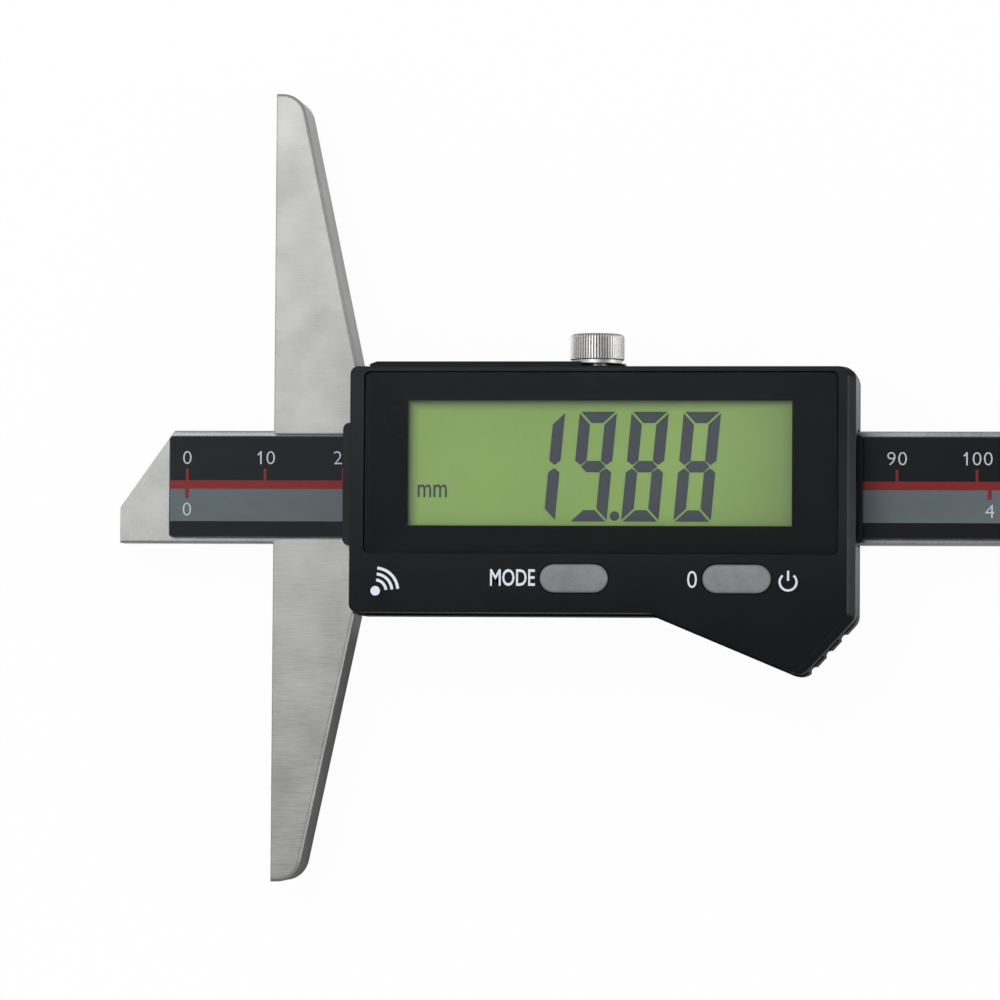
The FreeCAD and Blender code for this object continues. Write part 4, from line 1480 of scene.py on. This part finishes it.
@dataclass
class Keys(Assembly):
    """Rubber keys with a rolled rim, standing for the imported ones."""

    slot: str = "button_rubber"
    level: float = 15.5 * MM
    rise: float = 0.4 * MM
    length: float = 8.64 * MM
    width: float = 3.63 * MM
    roll: float = 0.5 * MM
    roll_steps: int = 4
    flange: float = 0.58 * MM
    flange_top: float = 13.95 * MM
    flange_height: float = 1.05 * MM
    stem_radius: float = 1.5 * MM
    dome: float = 0.1 * MM
    steps: int = 10

    def ring(self, centre: Point, length: float, width: float, z: float) -> list[Spot]:
        """Points round a bar with round ends.

        Args:
            centre: Its middle.
            length: Its length along X.
            width: Its width.
            z: Its level.

        Returns:
            The points, anticlockwise.
        """
        radius = width / 2
        points = []
        for side, start in ((1, -90), (-1, 90)):
            end = (centre[0] + side * (length / 2 - radius), centre[1])
            points += arc(end, radius, start, start + 180, self.steps)
        return [(x, y, z) for x, y in points]

    def build(self) -> None:
        """Make both keys."""
        self.make_key("mode_button", Body.MODE_KEY)
        self.make_key("zero_button", Body.ZERO_KEY)

    def make_key(self, node: str, body: Body) -> None:
        """Make one key.

        Args:
            node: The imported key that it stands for.
            body: What it moves with.
        """
        low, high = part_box(node)
        centre = ((low[0] + high[0]) / 2, (low[1] + high[1]) / 2)
        top = self.level + self.rise
        stem = 2 * self.stem_radius
        flange_length = self.length + 2 * self.flange
        flange_width = self.width + 2 * self.flange
        flange_foot = self.flange_top - self.flange_height
        rings = [
            self.ring(centre, stem, stem, low[2]),
            self.ring(centre, stem, stem, flange_foot),
            self.ring(centre, flange_length, flange_width, flange_foot),
            self.ring(centre, flange_length, flange_width, self.flange_top),
            self.ring(centre, self.length, self.width, self.flange_top),
        ]
        for index in range(self.roll_steps + 1):
            angle = math.pi / 2 * index / self.roll_steps
            shrink = 2 * self.roll * (1 - math.cos(angle))
            z = top - self.dome - self.roll * (1 - math.sin(angle))
            rings.append(self.ring(centre, self.length - shrink, self.width - shrink, z))
        flat = 4 * self.roll
        rings.append(self.ring(centre, self.length - flat, self.width - flat, top))
        mesh = new_mesh(node + "_detail", *skin(rings))
        for polygon in mesh.polygons:
            polygon.use_smooth = polygon.center.z > self.level + 0.01 * MM
        piece = self.shop.place(node + "_detail", mesh, FINISHES[self.slot], body, self.slot)
        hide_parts(node)


@dataclass
class Knob(Assembly):
    """Locking screw whose head carries a fine straight knurl."""

    slot: str = "knob_steel"
    middle: Point = (40.85 * MM, 4.95 * MM)
    tip: float = 9.10 * MM
    tip_edge: float = 0.2 * MM
    collar: float = 15.70 * MM
    collar_edge: float = 0.06 * MM
    head: float = 16.20 * MM
    end: float = 19.48 * MM
    end_hollow: float = 0.08 * MM
    shank_radius: float = 1.25 * MM
    collar_radius: float = 3.18 * MM
    head_radius: float = 3.43 * MM
    knurl_depth: float = 0.15 * MM
    edge: float = 0.42 * MM
    teeth: int = 60
    crest_share: float = 0.55
    root_share: float = 0.46
    root_sunk: float = 0.9
    finish: KnurledMetal = KnurledMetal(
        # the third colour is the painted shade in the knurl's grooves
        "knob_steel", (208, 207, 206), (232, 231, 230), (132, 131, 130),
        (40.85 * MM, 16.20 * MM, 4.95 * MM), 3.29 * MM, 3.40 * MM,
    )

    def ring(self, y: float, radius: float, depth: float = 0.0) -> list[Spot]:
        """Points round the screw's axis, sunk between the teeth.

        Args:
            y: Place along the axis.
            radius: Radius at the crests.
            depth: How far the roots lie below the crests.

        Returns:
            Four points for each tooth, turned so that the skin faces outwards.
        """
        half = self.crest_share / 2
        tooth = ((-0.5, 1.0), (-half, 0.0), (half, 0.0), (self.root_share, self.root_sunk))
        points = []
        for index in range(self.teeth):
            for share, sunk in tooth:
                angle = -(index + share) * 2 * math.pi / self.teeth
                reach = radius - depth * sunk
                x = self.middle[0] + reach * math.cos(angle)
                points.append((x, y, self.middle[1] + reach * math.sin(angle)))
        return points

    def build(self) -> None:
        """Turn the screw and cut its knurl."""
        edge = self.edge
        rings = [
            self.ring(self.tip, self.shank_radius - self.tip_edge),
            self.ring(self.tip + self.tip_edge, self.shank_radius),
            self.ring(self.collar, self.shank_radius),
            self.ring(self.collar, self.collar_radius - self.collar_edge),
            self.ring(self.collar + self.collar_edge, self.collar_radius),
            self.ring(self.head, self.collar_radius),
            self.ring(self.head, self.head_radius - edge / 4, self.knurl_depth / 3),
            self.ring(self.head + edge / 4, self.head_radius, self.knurl_depth),
            self.ring(self.end - edge, self.head_radius, self.knurl_depth),
            self.ring(self.end - 0.35 * edge, self.head_radius - 0.3 * edge, self.knurl_depth / 2),
            self.ring(self.end, self.head_radius - edge),
            self.ring(self.end, self.head_radius - 1.6 * edge),
            self.ring(self.end - self.end_hollow, self.head_radius - 1.8 * edge),
        ]
        name = "lock_screw_detail"
        mesh = new_mesh(name, *skin(rings))
        piece = self.shop.place(name, mesh, self.finish, Body.LOCK_SCREW, self.slot)
        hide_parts("lock_screw")


def main() -> None:
    """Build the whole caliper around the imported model."""
    logging.basicConfig(level=logging.INFO, format="%(message)s")
    shop = Workshop(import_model())
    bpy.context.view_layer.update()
    for assembly in (
        Dressing(shop),
        Scale(shop),
        Readout(shop),
        Knob(shop),
        FrontMarks(shop),
        Keys(shop),
        Screws(shop, "frame_screws", Body.SLIDER, 5 * MM),
        Screws(shop, "housing_screws", Body.SLIDER, 11.5 * MM),
        Screws(shop, "battery_cover_screws", Body.SLIDER, 5 * MM),
        Screws(shop, "end_stop_screws", Body.BEAM, 4 * MM),
    ):
        assembly.build()
    Studio().build()
    PhotoView().build()
    bpy.context.scene.view_settings.view_transform = "Standard"


if __name__ == "__main__":
    main()
